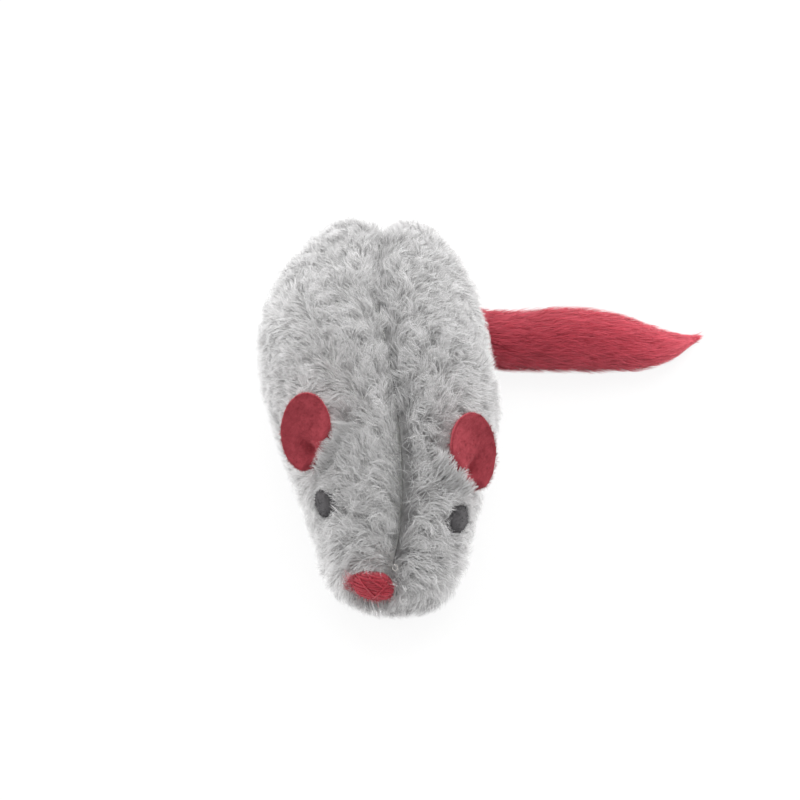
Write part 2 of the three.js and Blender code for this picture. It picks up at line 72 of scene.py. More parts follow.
# Place along the body, half width, top, underside, sideways bend, back seam
SECTIONS = (
    (-0.5, 0.14, 0.35, 0.28, 0.052, -0.01),
    (-0.475, 0.38, 0.43, 0.14, 0.05, -0.006),
    (-0.41, 0.56, 0.57, 0.03, 0.046, 0.035),
    (-0.305, 0.68, 0.735, 0.0, 0.042, 0.05),
    (-0.165, 0.835, 0.865, 0.0, 0.026, 0.04),
    (0.0, 0.975, 0.96, 0.0, 0.0, 0.022),
    (0.14, 1.0, 1.0, 0.0, -0.034, 0.022),
    (0.285, 0.945, 0.97, 0.0, -0.042, 0.026),
    (0.39, 0.77, 0.91, 0.03, -0.033, 0.03),
    (0.46, 0.52, 0.8, 0.17, -0.025, 0.028),
    (0.5, 0.09, 0.565, 0.44, -0.02, 0.028),
)
CAP = 0.035  # share of the length by which the skin closes past each end
CAP_BULGE = 0.7
PILE_END = CAP * 0.95  # how far past each end strands lie
FLOOR_CLEAR = 0.15

# Pile
SKIN_DEPTH = 2.0  # backing cloth below the lie of the pile
TUFT_TRIES = 30000  # places that are thinned out to those of the tufts
TUFT_SPACING = 1.4
TUFT_STRANDS = 21
TUFT_SPREAD = 0.95
PILE_LENGTH = 4.0
STRAND_WIDTH = 0.115
STRAND_SHARES = np.linspace(0, 1, 5)  # places of a strand's points along it
STRAND_TAPER = 0.82  # how much narrower its tip is
UNDER_STRANDS = 42000
UNDER_LENGTH = 3.2
WISPS = 11000  # single loose hairs over the tufts
WISP_LENGTH = 3.6
WISP_WIDTH = 0.075
WHORL_STRANDS = 1300
WHORL_REACH = 2.9
SEAM_PART = 1.15  # how far from the back seam the pile stays parted and low
SEAM_FRONT = 0.075  # place of the dip where the seam ends above the nose
SEAM_FRONT_SPREAD = 0.9
SEAM_FADES = ((0.3, 0.55, 0.8, 0.92), (1.0, 0.62, 0.25, 0.0))  # places, and the parting left there
SEAM_GAP = 0.32  # how near to the seam a strand's foot stands
PILE_PARTS = {"head": (-1, 0.38), "middle": (0.38, 0.62), "rump": (0.62, 2)}  # by place along the body
# How much paler the pile is towards the nose; paler towards the rear and low on the sides is painted light,
# as lit from all round
PALER_SNOUT = 0.14
PAINTED_LIGHT_REAR = 0.16
PAINTED_LIGHT_LOW_SIDES = 0.15
# Fuller and thinner places of the pile: middle, reach and height
PILE_SWELLS = (
    ((-24.0, 14.0, 16.0), 11.0, 0.8),
    ((-21.0, 24.0, 21.0), 8.0, 0.6),
    ((23.5, 3.0, 16.0), 9.0, 1.1),
    ((-15.5, 33.0, 27.0), 9.0, 1.1),
    ((16.0, 33.0, 27.0), 9.0, 0.8),
    ((9.5, 38.0, 33.0), 6.0, 1.5),
    ((-8.5, 39.0, 33.0), 4.5, 1.2),
    ((-2.6, 41.0, 33.0), 4.0, -2.0),
    ((-1.5, 43.0, 10.0), 7.0, 1.9),
    ((2.0, -46.0, 8.0), 9.0, 1.2),
    ((-7.0, -42.0, 6.0), 8.0, 0.9),
    ((11.0, -40.0, 6.0), 8.0, 0.9),
    ((17.5, -27.5, 22.0), 4.0, -0.8),
    ((-13.0, -25.5, 26.0), 3.5, -0.4),
)

# Felt ears, held along one edge
EAR_WIDTH = 9.9
EAR_HEIGHT = 15.6
EAR_SIDE = 2.5
EAR_OUT = 3.8
EAR_LEANS = {1: 38, -1: 28}
EAR_HELD = 2.4  # half of the sewn part of the edge, past which the leaf hangs free
EAR_FREES = 2.5  # length over which it comes free there
EAR_TILT = 31
EAR_TURNS = {1: 30, -1: -6}
FELT = 1.2
EAR_FIBRES = 2600
FRINGE_STRANDS = 260
FRINGE_HALF = 5.6  # half of the fringe's width in front of an ear

# Felt eyes and the nose: share along the body, degrees round it, lean
EYE_PLACES = {1: (0.251, 60.6, -100), -1: (0.276, -58.2, 98)}
EYE_WIDTH = 4.8
EYE_HEIGHT = 6.3
EYE_STRAYS = 0.06  # share of the strands round it that hang over it
EYE_PAD = (0.25, 0.75)  # height of its rim over the body, and of its crown over the rim
NOSE_WIDTH = 8.6
NOSE_HEIGHT = 6.0
NOSE_TILT = 18
NOSE_TURN = -16
NOSE_SIDE_SHARE = -0.095
NOSE_HEIGHT_SHARE = 0.33
NOSE_STRAYS = 0.12
NOSE_PAD = (0.2, 0.7)
NOSE_FIBRES_PAD = (0.5, 0.8)  # the same for its loose fibres, which stand over the stitches
NOSE_STITCHES = 17
NOSE_CROSSES = (((-2.6, 2.1), (1.9, -2.2)), ((3.1, 1.5), (0.4, -2.5)), ((-0.6, 2.7), (2.9, 0.6)))
NOSE_ENDS = 105  # frayed ends of its thread

# Tail
TAIL_THICKNESS = 13.2
TAIL_GATHER = (0.42, 0.54, 0.68, 0.82, 0.91)  # share of the thickness from the root to the bend
BINDING_AT = 8.2  # way along the tail to the thread that gathers it
BINDING_TURNS = 3.2
BINDING_PITCH = 0.42
BINDING_DEPTH = 0.75  # below the lie of the fur
COLLAR_STRANDS = 2600
COLLAR_REACH = (2.6, 7.2)
COLLAR_OVER = 3.4  # how far over the tail's start the pile reaches
TAIL_END_LENGTH = 47.0
TAIL_FLOOR_GAP = 0.3
TAIL_LEAVES = 44  # degrees at which the tail leaves the body
TAIL_ARRIVES = -4  # degrees at which its root part reaches the bend
TAIL_POINTS = 160
TAIL_EVENED = 7  # spread, in points, over which its bends are evened
TAIL_SWELL = (0.91, 0.93, 0.98, 0.99, 0.91, 0.73, 0.44, 0.06)  # the same from the bend to the tip
TAIL_DRIFT = (0, 0, 0, 0, -0.01, -0.04, 0.12, 0.52)  # drift to the rear, as shares of the thickness
TAIL_SKIN = 1.5  # backing cloth below the lie of the fur
TAIL_PILE = 6.5
TAIL_STRANDS = 18000  # in each of its three layers
TAIL_LOCKS = 900
TAIL_STRAND_WIDTH = 0.12
TAIL_CROWDING = 0.8  # added to the radius when the strands are shared out along the tail
TIP_ENDS = (-2.4, 2.8)  # where strands end, from the end of the tail's line
TIP_STRAY = 0.3  # how far strands come loose at the tip
TIP_LOOSE = 6.0  # length over which they come loose
TIP_CLOSES = 1.3  # length over which the strands past the end draw together

# Threads and stitches
STITCH_POINTS = 14
SATIN_RADIUS = 0.24
CROSSING_RADIUS = 0.17
SEAM_THREAD_RADIUS = 0.11
EAR_THREAD_RADIUS = 0.14
CLOSING_THREAD_RADIUS = 0.15
BINDING_RADIUS = 0.19
EAR_STITCHES = 4
EAR_STITCH_PITCH = 1.5
EAR_STITCH_LENGTH = 0.9
CLOSING_STITCHES = 6
CLOSING_AT = 0.985  # place along the body
CLOSING_FROM = 0.35  # angle round the body, in radians
CLOSING_STEP = 0.32
SEAM_SPAN = (0.05, 0.93)  # part of the body that the back seam's thread runs along
SEAM_POINTS = 160

# Loose end of the back seam's thread: height, way forward and way aside of its points
LOOSE_END_AT = 10  # point of the seam's line where it comes out
LOOSE_END = (
    (-1.6, -0.2, 0.0), (-0.2, 0.3, 0.1), (0.3, 0.5, 0.6), (0.6, 0.1, 1.0), (0.8, -0.6, 0.8), (0.9, -0.7, 0.2),
)

# Camera, in millimetres and degrees
CAMERA_TARGET = (3.6, 0, 20)
CAMERA_DISTANCE = 450
CAMERA_ELEVATION = 45
CAMERA_LENS = 97.2

# Lamps: place and size in metres, watts; and the light from all round
LAMPS = (
    ("Rear softbox", (0.05, 0.64, 0.76), 1.5, 14.3),
    ("Left softbox", (-0.74, 0.0, 0.16), 0.7, 4.9),
    ("Right softbox", (0.74, 0.0, 0.16), 0.7, 4.0),
)
LAMP_TARGET = (0, 0, 0.02)
ROOM_LIGHT = 0.57

# Floor: it shows the shadow near the mouse and is plain white farther out, in metres
FLOOR_SIZE = 3.0
FLOOR_GREY = (0.86, 0.86, 0.86, 1)  # as other rays than the camera's meet it
FLOOR_NEAR = 0.12
FLOOR_FAR = 0.5
FLOOR_SHADE = 0.1  # how much of the shadow it shows near the mouse

WHITE = (1, 1, 1, 1)
SIDE_NAMES = {1: "left", -1: "right"}
JOINTS = {one["name"]: one for one in frame["joints"]}


def unit(vectors):
    return vectors / np.maximum(np.linalg.norm(vectors, axis=-1, keepdims=True), 1e-9)


def smooth_line(values, share):
    """Value of a smooth curve through evenly spaced values, at a share of the way along it."""
    values = np.asarray(values, float)
    ends = np.concatenate([[2 * values[0] - values[1]], values, [2 * values[-1] - values[-2]]])
    place = np.clip(share, 0, 1) * (len(values) - 1)
    first = np.minimum(place.astype(int), len(values) - 2)
    part = place - first
    a, b, c, d = (ends[first + k] for k in range(4))
    return b + 0.5 * part * (c - a + part * (2 * a - 5 * b + 4 * c - d + part * (3 * (b - c) + d - a)))


# The body's shape

def section_at(along):
    """Place, half width, top, underside, sideways middle and seam of the body's sections."""
    past = np.clip(np.maximum(-along, along - 1) / CAP, 0, 1)
    close = np.sqrt(1 - past ** 2)
    place, half, top, low, bend, seam = (smooth_line(column, along) for column in zip(*SECTIONS))
    y = place * BODY_LENGTH + np.sign(along - 0.5) * CAP_BULGE * past
    low = low * (BODY_HEIGHT + FLAT_CUT) - FLAT_CUT
    top = top * BODY_HEIGHT
    middle = (top + low) / 2
    reach = (top - low) / 2 * close
    bend = bend * BODY_WIDTH
    return y, half * BODY_WIDTH / 2 * close, middle + reach, middle - reach, bend, bend + seam * BODY_WIDTH


def body_point(along, around, inset=0.0):
    """Points of the body's surface; around is the angle from the top, positive towards +X."""
    y, half, top, low, bend, seam = section_at(along)
    half = np.maximum(half - inset, half * 0.25)
    top, low = top - inset, low + inset
    top, low = np.maximum(top, (top + low) / 2), np.minimum(low, (top + low) / 2)
    y = y * (1 - 2 * inset / BODY_LENGTH)
    up, out = np.cos(around), np.sin(around)
    power = np.where(up >= 0, TOP_ROUND, LOW_ROUND)
    stretch = (np.abs(up) ** power + np.abs(out) ** power) ** (-1 / power)
    middle = low + (top - low) * WIDEST_SHARE
    reach = np.where(up >= 0, top - middle, middle - low)
    x = bend + half * out * stretch
    depth = VALLEY_DEPTH * np.minimum(
        1, VALLEY_NOSE_SHARE + (1 - VALLEY_NOSE_SHARE) * along / VALLEY_REAR_SHARE
    )
    pull = np.where(up > 0, np.minimum(depth, reach / 2) * np.exp(-(((x - seam) / VALLEY_WIDTH) ** 2)), 0)
    z = middle + reach * up * stretch - pull
    return np.stack([x, y, np.maximum(z, FLOOR_CLEAR)], -1)


def body_frame(along, around):
    """Point and normal of the body's surface, and its speeds to the tail and round the body."""
    step = 0.004
    low, high = np.maximum(along - step, -CAP * 0.98), np.minimum(along + step, 1 + CAP * 0.98)
    back = (body_point(high, around) - body_point(low, around)) / (high - low)[..., None]
    side = (body_point(along, around + step) - body_point(along, around - step)) / (2 * step)
    back_speed = np.maximum(np.linalg.norm(back, axis=-1), 30)
    side_speed = np.maximum(np.linalg.norm(side, axis=-1), 2)
    return body_point(along, around), unit(np.cross(side, back)), back_speed, side_speed


def seam_angle(along):
    """Angle of the back seam round the body."""
    _, half, _, _, bend, seam = section_at(along)
    out = np.clip((seam - bend) / np.maximum(half, 0.5), -0.9, 0.9)
    return np.arctan2(out, (1 - np.abs(out) ** TOP_ROUND) ** (1 / TOP_ROUND))


def belly_angle(along):
    """Angle of the belly seam, as it is on the +X side."""
    _, _, top, low, _, _ = section_at(along)
    middle = low + (top - low) * WIDEST_SHARE
    down = np.clip((middle - BELLY_SEAM_HEIGHT) / np.maximum(middle - low, 0.1), 0, 1)
    return np.arctan2((1 - down ** LOW_ROUND) ** (1 / LOW_ROUND), -down)


def surface_tree(rows=120, columns=120):
    """The body's surface, for finding what lies below a point."""
    along, around = np.meshgrid(
        np.linspace(-CAP, 1 + CAP, rows), np.linspace(-math.pi, math.pi, columns), indexing="ij"
    )
    points = body_point(along, around).reshape(-1, 3)
    return BVHTree.FromPolygons([Vector(p) for p in points], grid_quads(rows, columns).tolist())


def grid_quads(rows, columns):
    index = np.arange(rows * columns).reshape(rows, columns)
    return np.stack(
        [index[:-1, :-1], index[:-1, 1:], index[1:, 1:], index[1:, :-1]], -1
    ).reshape(-1, 4)


body_tree = surface_tree()


# Meshes

def ring_faces(rings, columns):
    """Faces between closed rings of points."""
    here = np.arange(rings * columns).reshape(rings, columns)
    beside = np.roll(here, -1, 1)
    return np.stack([here[:-1], beside[:-1], beside[1:], here[1:]], -1).reshape(-1, 4).tolist()


def capped_faces(rings, columns):
    """Faces between closed rings of points, and from the end rings to two last points."""
    faces = ring_faces(rings, columns)
    first, end, last_ring = rings * columns, rings * columns + 1, (rings - 1) * columns
    for j in range(columns):
        k = (j + 1) % columns
        faces += [(first, k, j), (end, last_ring + j, last_ring + k)]
    return faces


def linked(name, data):
    """An object in the scene."""
    made = bpy.data.objects.new(name, data)
    bpy.context.scene.collection.objects.link(made)
    return made


def new_piece(name, points, faces, material):
    """A smooth mesh from points in millimetres and faces."""
    mesh = bpy.data.meshes.new(name)
    mesh.from_pydata((np.asarray(points) * MM).tolist(), [], [list(face) for face in faces])
    mesh.validate()
    mesh.polygons.foreach_set("use_smooth", [True] * len(mesh.polygons))
    mesh.materials.append(material)
    return linked(name, mesh)


def strands_piece(name, paths, normals, roll, widths, tones, material):
    """A mesh of flat tapering strands. Its map holds the strand's tone and the share along it."""
    count, steps, _ = paths.shape
    forward = unit(np.gradient(paths, axis=1))
    side = unit(np.cross(forward, normals))
    turned = np.cross(side, forward)
    across = (side * np.cos(roll)[:, None, None] + turned * np.sin(roll)[:, None, None])[:, :-1]
    share = np.linspace(0, 1, steps)
    half = (widths[:, None] / 2 * (1 - STRAND_TAPER * share ** 1.6))[:, :-1, None]
    points = np.concatenate([paths[:, :-1] - across * half, paths[:, :-1] + across * half, paths[:, -1:]], 1)
    last = steps - 1
    corners = []
    for k in range(last - 1):
        corners += [k, last + k, last + k + 1, k + 1]
    corners = np.array(corners + [last - 1, 2 * last - 1, 2 * last])
    loops = (np.arange(count)[:, None] * points.shape[1] + corners).ravel()
    totals = np.tile([4] * (last - 1) + [3], count)
    starts = np.concatenate([[0], np.cumsum(totals)[:-1]])
    mesh = bpy.data.meshes.new(name)
    mesh.vertices.add(count * points.shape[1])
    mesh.vertices.foreach_set("co", (points * MM).astype(np.float32).ravel())
    mesh.loops.add(len(loops))
    mesh.loops.foreach_set("vertex_index", loops.astype(np.int32))
    mesh.polygons.add(len(totals))
    mesh.polygons.foreach_set("loop_start", starts.astype(np.int32))
    mesh.update(calc_edges=True)
    mesh.polygons.foreach_set("use_smooth", np.ones(len(totals), bool))
    place = np.concatenate([share[:-1], share[:-1], [1.0]])[corners]
    edge = np.concatenate([-np.ones(last), np.ones(last), [0.0]])[corners] * 0.006
    uv = np.empty((count, len(corners), 2), np.float32)
    uv[..., 0] = np.clip(tones, 0.01, 0.99)[:, None] + edge
    uv[..., 1] = 0.02 + 0.96 * place
    mesh.uv_layers.new(name="OFBake").data.foreach_set("uv", uv.ravel())
    mesh.materials.append(material)
    return linked(name, mesh)


def tube(line, radii, sides=8):
    """Points and faces of a closed tube along a line of points."""
    line = np.asarray(line, float)
    forward = unit(np.gradient(line, axis=0))
    up = np.array([0.0, 0.0, 1.0])
    if abs(forward[0] @ up) > 0.9:
        up = np.array([1.0, 0.0, 0.0])
    normals = []
    normal = unit(up - forward[0] * (forward[0] @ up))
    for direction in forward:
        normal = unit(normal - direction * (direction @ normal))
        normals.append(normal)
    normals = np.array(normals)
    turn = (np.arange(sides) / sides * 2 * math.pi)[None, :, None]
    round_line = np.cos(turn) * normals[:, None] + np.sin(turn) * np.cross(forward, normals)[:, None]
    rings = line[:, None] + np.broadcast_to(radii, len(line))[:, None, None] * round_line
    points = np.concatenate([rings.reshape(-1, 3), line[:1], line[-1:]])
    return points, capped_faces(len(line), sides)


def joined(parts):
    """Several pairs of points and faces as one."""
    points, faces, offset = [], [], 0
    for some_points, some_faces in parts:
        points.append(some_points)
        faces += [[corner + offset for corner in face] for face in some_faces]
        offset += len(some_points)
    return np.concatenate(points), faces


def curve_through(controls, count):
    """Points of a smooth curve through a few points."""
    share = np.linspace(0, 1, count)
    return np.stack([smooth_line(column, share) for column in np.asarray(controls, float).T], -1)


# Materials

def new_material(name):
    material = bpy.data.materials.new(name)
    material.use_nodes = True
    tree = material.node_tree
    return material, tree, tree.nodes["Principled BSDF"]


def set_inputs(tree, made, inputs):
    """Sets a node's inputs, by name or number, to values, or links sockets to them."""
    for key, value in inputs.items():
        if isinstance(value, bpy.types.NodeSocket):
            tree.links.new(value, made.inputs[key])
        else:
            made.inputs[key].default_value = value


def node(tree, kind, inputs=None, **settings):
    made = tree.nodes.new(kind)
    for key, value in settings.items():
        setattr(made, key, value)
    set_inputs(tree, made, inputs or {})
    return made


def ramp(tree, mask, stops):
    """Colours at the places of a mask."""
    made = node(tree, "ShaderNodeValToRGB", {0: mask})
    for element, (place, colour) in zip(made.color_ramp.elements, stops):
        element.position = place
        element.color = (*colour, 1)
    return made.outputs[0]


def new_group(name, inputs, outputs):
    group = bpy.data.node_groups.new(name, "ShaderNodeTree")
    for label, kind, value in inputs:
        socket = group.interface.new_socket(label, in_out="INPUT", socket_type=kind)
        if value is not None:
            socket.default_value = value
    for label, kind in outputs:
        group.interface.new_socket(label, in_out="OUTPUT", socket_type=kind)
    return group, group.nodes.new("NodeGroupInput"), group.nodes.new("NodeGroupOutput")


def math_node(tree, operation, *values):
    return node(tree, "ShaderNodeMath", dict(enumerate(values)), operation=operation).outputs[0]


def strand_colour_group():
    """Colour along a strand of pile, from its foot, dark with painted shade, to its tip, pale with painted
    light, by its tone.
    """
    group, given, result = new_group(
        "Strand colour",
        [("Map", "NodeSocketVector", None), ("Foot", "NodeSocketColor", (0.1, 0.1, 0.1, 1)),
         ("Middle", "NodeSocketColor", (0.3, 0.3, 0.3, 1)), ("Tip", "NodeSocketColor", (0.6, 0.6, 0.6, 1)),
         ("Tone spread", "NodeSocketFloat", 0.4)],
        [("Colour", "NodeSocketColor")],
    )
    split = node(group, "ShaderNodeSeparateXYZ", {0: given.outputs["Map"]})
    colour = given.outputs["Foot"]
    for start, end, next_colour in ((0, 0.55, "Middle"), (0.45, 1, "Tip")):
        span = {"Value": split.outputs["Y"], "From Min": start, "From Max": end}
        reach = node(group, "ShaderNodeMapRange", span, interpolation_type="SMOOTHSTEP")
        mixed = {"Factor": reach.outputs[0], 6: colour, 7: given.outputs[next_colour]}
        colour = node(group, "ShaderNodeMix", mixed, data_type="RGBA").outputs[2]
    spread = given.outputs["Tone spread"]
    shade = math_node(group, "SUBTRACT", 1.0, math_node(group, "MULTIPLY", spread, 0.5))
    tone = math_node(group, "MULTIPLY_ADD", split.outputs["X"], spread, shade)
    vivid = node(group, "ShaderNodeVectorMath", {0: colour, "Scale": tone}, operation="SCALE")
    group.links.new(vivid.outputs[0], result.inputs["Colour"])
    return group


def felt_group():
    """Matted fibres: a mottled mask and the height of the fibres."""
    group, given, result = new_group(
        "Matted fibres",
        [("Place", "NodeSocketVector", None), ("Fineness", "NodeSocketFloat", 2600.0)],
        [("Mottle", "NodeSocketFloat"), ("Height", "NodeSocketFloat")],
    )
    place = given.outputs["Place"]
    heights = []
    for turn in (0.3, 1.4, 2.5):
        laid = node(
            group, "ShaderNodeVectorRotate", {"Vector": place, "Axis": (0.3, 1, 0.5), "Angle": turn},
            rotation_type="AXIS_ANGLE",
        )
        drawn = node(
            group, "ShaderNodeVectorMath", {0: laid.outputs[0], 1: (1, 0.16, 1)}, operation="MULTIPLY"
        )
        fibres = {"Scale": given.outputs["Fineness"], "Detail": 3, "Distortion": 0.8}
        fibres = node(group, "ShaderNodeTexNoise", {"Vector": drawn.outputs[0], **fibres})
        heights.append(fibres.outputs[0])
    peak = math_node(group, "MAXIMUM", math_node(group, "MAXIMUM", heights[0], heights[1]), heights[2])
    patches = node(group, "ShaderNodeTexNoise", {"Vector": place, "Scale": 420, "Detail": 5})
    mottle = math_node(group, "MULTIPLY", math_node(group, "ADD", patches.outputs[0], peak), 0.5)
    set_inputs(group, result, {"Mottle": mottle, "Height": peak})
    return group


def twist_group():
    """The height of the slanting plies of a twisted thread."""
    group, given, result = new_group(
        "Twisted plies",
        [("Place", "NodeSocketVector", None), ("Plies", "NodeSocketFloat", 1500.0)],
        [("Height", "NodeSocketFloat")],
    )
    plies = node(
        group, "ShaderNodeTexWave",
        {"Vector": given.outputs["Place"], "Scale": given.outputs["Plies"], "Distortion": 1.2, "Detail": 2},
        wave_type="BANDS", bands_direction="DIAGONAL",
    )
    group.links.new(plies.outputs["Fac"], result.inputs["Height"])
    return group


STRAND_COLOUR = strand_colour_group()
FELT_FIBRES = felt_group()
THREAD_TWIST = twist_group()


def pile_material(name, foot, middle, tip, spread, sheen):
    material, tree, shader = new_material(name)
    laid = node(tree, "ShaderNodeUVMap", uv_map="OFBake")
    colours = {"Foot": (*foot, 1), "Middle": (*middle, 1), "Tip": (*tip, 1), "Tone spread": spread}
    strand = node(
        tree, "ShaderNodeGroup", {"Map": laid.outputs[0], **colours}, node_tree=STRAND_COLOUR
    )
    set_inputs(tree, shader, {
        "Base Color": strand.outputs["Colour"], "Roughness": 0.85, "Specular IOR Level": 0.25,
        "Sheen Weight": sheen, "Sheen Roughness": 0.6,
    })
    return material


def relief_material(name, group, mask, stops, strength, depth, looks):
    """A material whose colours and relief come from a group's outputs."""
    material, tree, shader = new_material(name)
    place = node(tree, "ShaderNodeTexCoord")
    made = node(tree, "ShaderNodeGroup", {"Place": place.outputs["Object"]}, node_tree=group).outputs
    relief = node(
        tree, "ShaderNodeBump", {"Strength": strength, "Distance": depth * MM, "Height": made["Height"]}
    )
    colours = ramp(tree, made[mask], stops)
    set_inputs(tree, shader, {"Base Color": colours, "Normal": relief.outputs[0], **looks})
    return material


def felt_material(name, dark, light, depth):
    looks = {"Roughness": 0.97, "Specular IOR Level": 0.1, "Sheen Weight": 0.08, "Sheen Roughness": 0.7}
    return relief_material(name, FELT_FIBRES, "Mottle", [(0.36, dark), (0.62, light)], 0.55, depth, looks)


def thread_material(name, dark, light, roughness, sheen):
    looks = {"Roughness": roughness, "Sheen Weight": sheen}
    return relief_material(name, THREAD_TWIST, "Height", [(0.15, dark), (0.7, light)], 0.5, 0.08, looks)


# Pile: colours of its foot, middle and tip, spread of its tones, sheen; the dark foot is painted shade, the
# pale tip painted light
GREY_PILE = pile_material(
    "Grey pile", (0.38, 0.376, 0.376), (0.53, 0.525, 0.525), (0.69, 0.685, 0.685), 0.9, 1.0
)
RED_PILE = pile_material(
    "Red tail fur", (0.4, 0.025, 0.043), (0.6, 0.053, 0.085), (0.77, 0.11, 0.158), 0.3, 0.25
)
FELT_FUZZ = pile_material(
    "Red felt fibres", (0.27, 0.022, 0.036), (0.34, 0.035, 0.052), (0.42, 0.06, 0.08), 0.3, 0.1
)
NOSE_FIBRES = pile_material(
    "Red thread fibres", (0.3, 0.012, 0.024), (0.5, 0.04, 0.07), (0.6, 0.12, 0.15), 0.3, 0.3
)
EYE_FUZZ = pile_material(
    "Dark felt fibres", (0.035, 0.033, 0.035), (0.06, 0.058, 0.06), (0.11, 0.105, 0.11), 0.3, 0.1
)
# Cloth and felt: darkest and lightest colour, relief in millimetres
# The grey backing is a little darker than the pile's foot: painted shade in the gaps between strands
GREY_BACKING_PAINTED_SHADE = felt_material("Grey backing cloth", (0.24, 0.238, 0.237), (0.36, 0.357, 0.355), 0.12)
RED_BACKING = felt_material("Red backing cloth", (0.12, 0.006, 0.012), (0.24, 0.015, 0.03), 0.12)
RED_FELT = felt_material("Red felt", (0.24, 0.024, 0.035), (0.4, 0.056, 0.074), 0.15)
DARK_FELT = felt_material("Dark grey felt", (0.035, 0.033, 0.035), (0.09, 0.086, 0.09), 0.15)
FILLING = felt_material("Fibre filling", (0.7, 0.7, 0.68), (0.9, 0.9, 0.88), 0.6)
SACHET = felt_material("Sachet cloth", (0.66, 0.62, 0.54), (0.84, 0.8, 0.72), 0.1)
HERB = felt_material("Dried herb", (0.1, 0.11, 0.04), (0.26, 0.26, 0.1), 0.5)
# Thread: darkest and lightest colour, roughness, sheen
# The back seam's grey thread is darkened as painted shade, where it lies down in the seam
SEAM_THREAD_PAINTED_SHADE = thread_material("Shaded seam thread", (0.1, 0.097, 0.095), (0.24, 0.235, 0.23), 0.8, 0.1)
GREY_THREAD = thread_material("Grey sewing thread", (0.3, 0.29, 0.28), (0.62, 0.6, 0.57), 0.7, 0.2)
RED_THREAD = thread_material("Red satin thread", (0.26, 0.007, 0.018), (0.52, 0.024, 0.052), 0.42, 0.15)


# Directions and tufts of the pile

def noise_at(points, scale, shift):
    return np.array([noise.noise(Vector(p) * scale + Vector((shift, shift, shift))) for p in points])


def noise_of(x, y, z):
    """Noise at places whose coordinates are columns or single numbers."""
    return np.array([noise.noise(Vector(place)) for place in zip(*np.broadcast_arrays(x, y, z))])


def circling(angle, first, second):
    """Directions at angles from a first axis to a second one."""
    return np.cos(angle)[:, None] * first + np.sin(angle)[:, None] * second


def spread_points(count):
    """Places on the body, evenly by area."""
    rows, columns = 200, 120
    along = np.linspace(-CAP * 0.9, 1 + CAP * 0.9, rows + 1)
    around = np.linspace(-math.pi, math.pi, columns + 1)
    corners = body_point(*np.meshgrid(along, around, indexing="ij"))
    down = corners[1:, :-1] - corners[:-1, :-1]
    across = corners[:-1, 1:] - corners[:-1, :-1]
    area = np.linalg.norm(np.cross(down, across), axis=-1).ravel()
    cell = draw.choice(rows * columns, count, p=area / area.sum())
    first, second = cell // columns, cell % columns
    part = draw.random((2, count))
    return (
        along[first] + part[0] * (along[1] - along[0]),
        around[second] + part[1] * (around[1] - around[0]),
    )


def thin_out(points, spacing):
    """Indexes of points that keep a spacing from one another, first come first kept."""
    kept, cells = [], {}
    for index, point in enumerate(points):
        home = tuple((point // spacing).astype(int))
        near = (
            other
            for dx in (-1, 0, 1) for dy in (-1, 0, 1) for dz in (-1, 0, 1)
            for other in cells.get((home[0] + dx, home[1] + dy, home[2] + dz), ())
        )
        if all(np.sum((points[other] - point) ** 2) > spacing ** 2 for other in near):
            kept.append(index)
            cells.setdefault(home, []).append(index)
    return np.array(kept)


def trace(along, around, side, heading, curl, length):
    """Places that a strand passes over as it lies along the body."""
    places = [(along, around)]
    stride = length * STRAND_SHARES[1]
    for share in STRAND_SHARES[:-1]:
        _, _, back_speed, side_speed = body_frame(along, around)
        angle = heading + curl * share
        along = np.clip(along + stride * np.cos(angle) / back_speed, -PILE_END, 1 + PILE_END)
        around = around + side * stride * np.sin(angle) / side_speed
        places.append((along, around))
    return places


def strand_paths(places, heights):
    """Points of strands over their places at their heights, and the normals there."""
    points, normals = [], []
    for (along, around), height in zip(places, heights.T):
        point, normal, _, _ = body_frame(along, around)
        points.append(point + normal * height[:, None])
        normals.append(normal)
    points = np.stack(points, 1)
    points[..., 2] = np.maximum(points[..., 2], FLOOR_CLEAR)
    return points, np.stack(normals, 1)


def rising(rise, power):
    """Heights of strands' points, from their feet in the backing cloth to their tips."""
    return -SKIN_DEPTH + rise[:, None] * (1 - (1 - STRAND_SHARES) ** power)


def strand_looks(count, roll, tone, tone_spread):
    """Roll, widths and tones of strands of pile, drawn at random."""
    return (
        draw.normal(0, roll, count),
        STRAND_WIDTH * draw.uniform(0.7, 1.2, count),
        draw.normal(tone, tone_spread, count),
    )


def joint_place(name):
    return np.array(JOINTS[name]["pos_m"]) / MM


def facing(turn, tilt):
    """Direction of a face that looks to the nose, turned aside and tilted up by degrees."""
    turn, tilt = turn * DEGREE, tilt * DEGREE
    return np.array([math.sin(turn) * math.cos(tilt), -math.cos(turn) * math.cos(tilt), math.sin(tilt)])


def ear_axes(side):
    """Middle of an ear's held edge, and its axes along the edge, outwards and out of its face."""
    name = f"ear_{SIDE_NAMES[side]}_fold"
    face = facing(EAR_TURNS[side], EAR_TILT)
    edge = unit(np.array(JOINTS[name]["axis"], float))
    return joint_place(name), edge, np.cross(face, edge), face


def eye_axes(side):
    """Middle of an eye, and its axes across, upwards and out of its face."""
    share, degrees, lean = EYE_PLACES[side]
    points, normals, _, _ = body_frame(np.array([share]), np.array([degrees * DEGREE]))
    across = unit(np.cross([0, 0, 1], normals[0]))
    upward = np.cross(normals[0], across)
    cos, sin = math.cos(lean * DEGREE), math.sin(lean * DEGREE)
    return points[0], across * cos + upward * sin, upward * cos - across * sin, normals[0]


def nose_axes():
    """Middle of the nose, and its axes across, upwards and out of its face."""
    _, _, _, _, bend, _ = section_at(np.array([0.0]))
    aside = bend[0] + NOSE_SIDE_SHARE * BODY_WIDTH
    point = np.array([aside, -BODY_LENGTH / 2, NOSE_HEIGHT_SHARE * BODY_HEIGHT])
    across = np.array([math.cos(NOSE_TURN * DEGREE), math.sin(NOSE_TURN * DEGREE), 0.0])
    face = facing(NOSE_TURN, NOSE_TILT)
    return point, across, np.cross(face, across), face


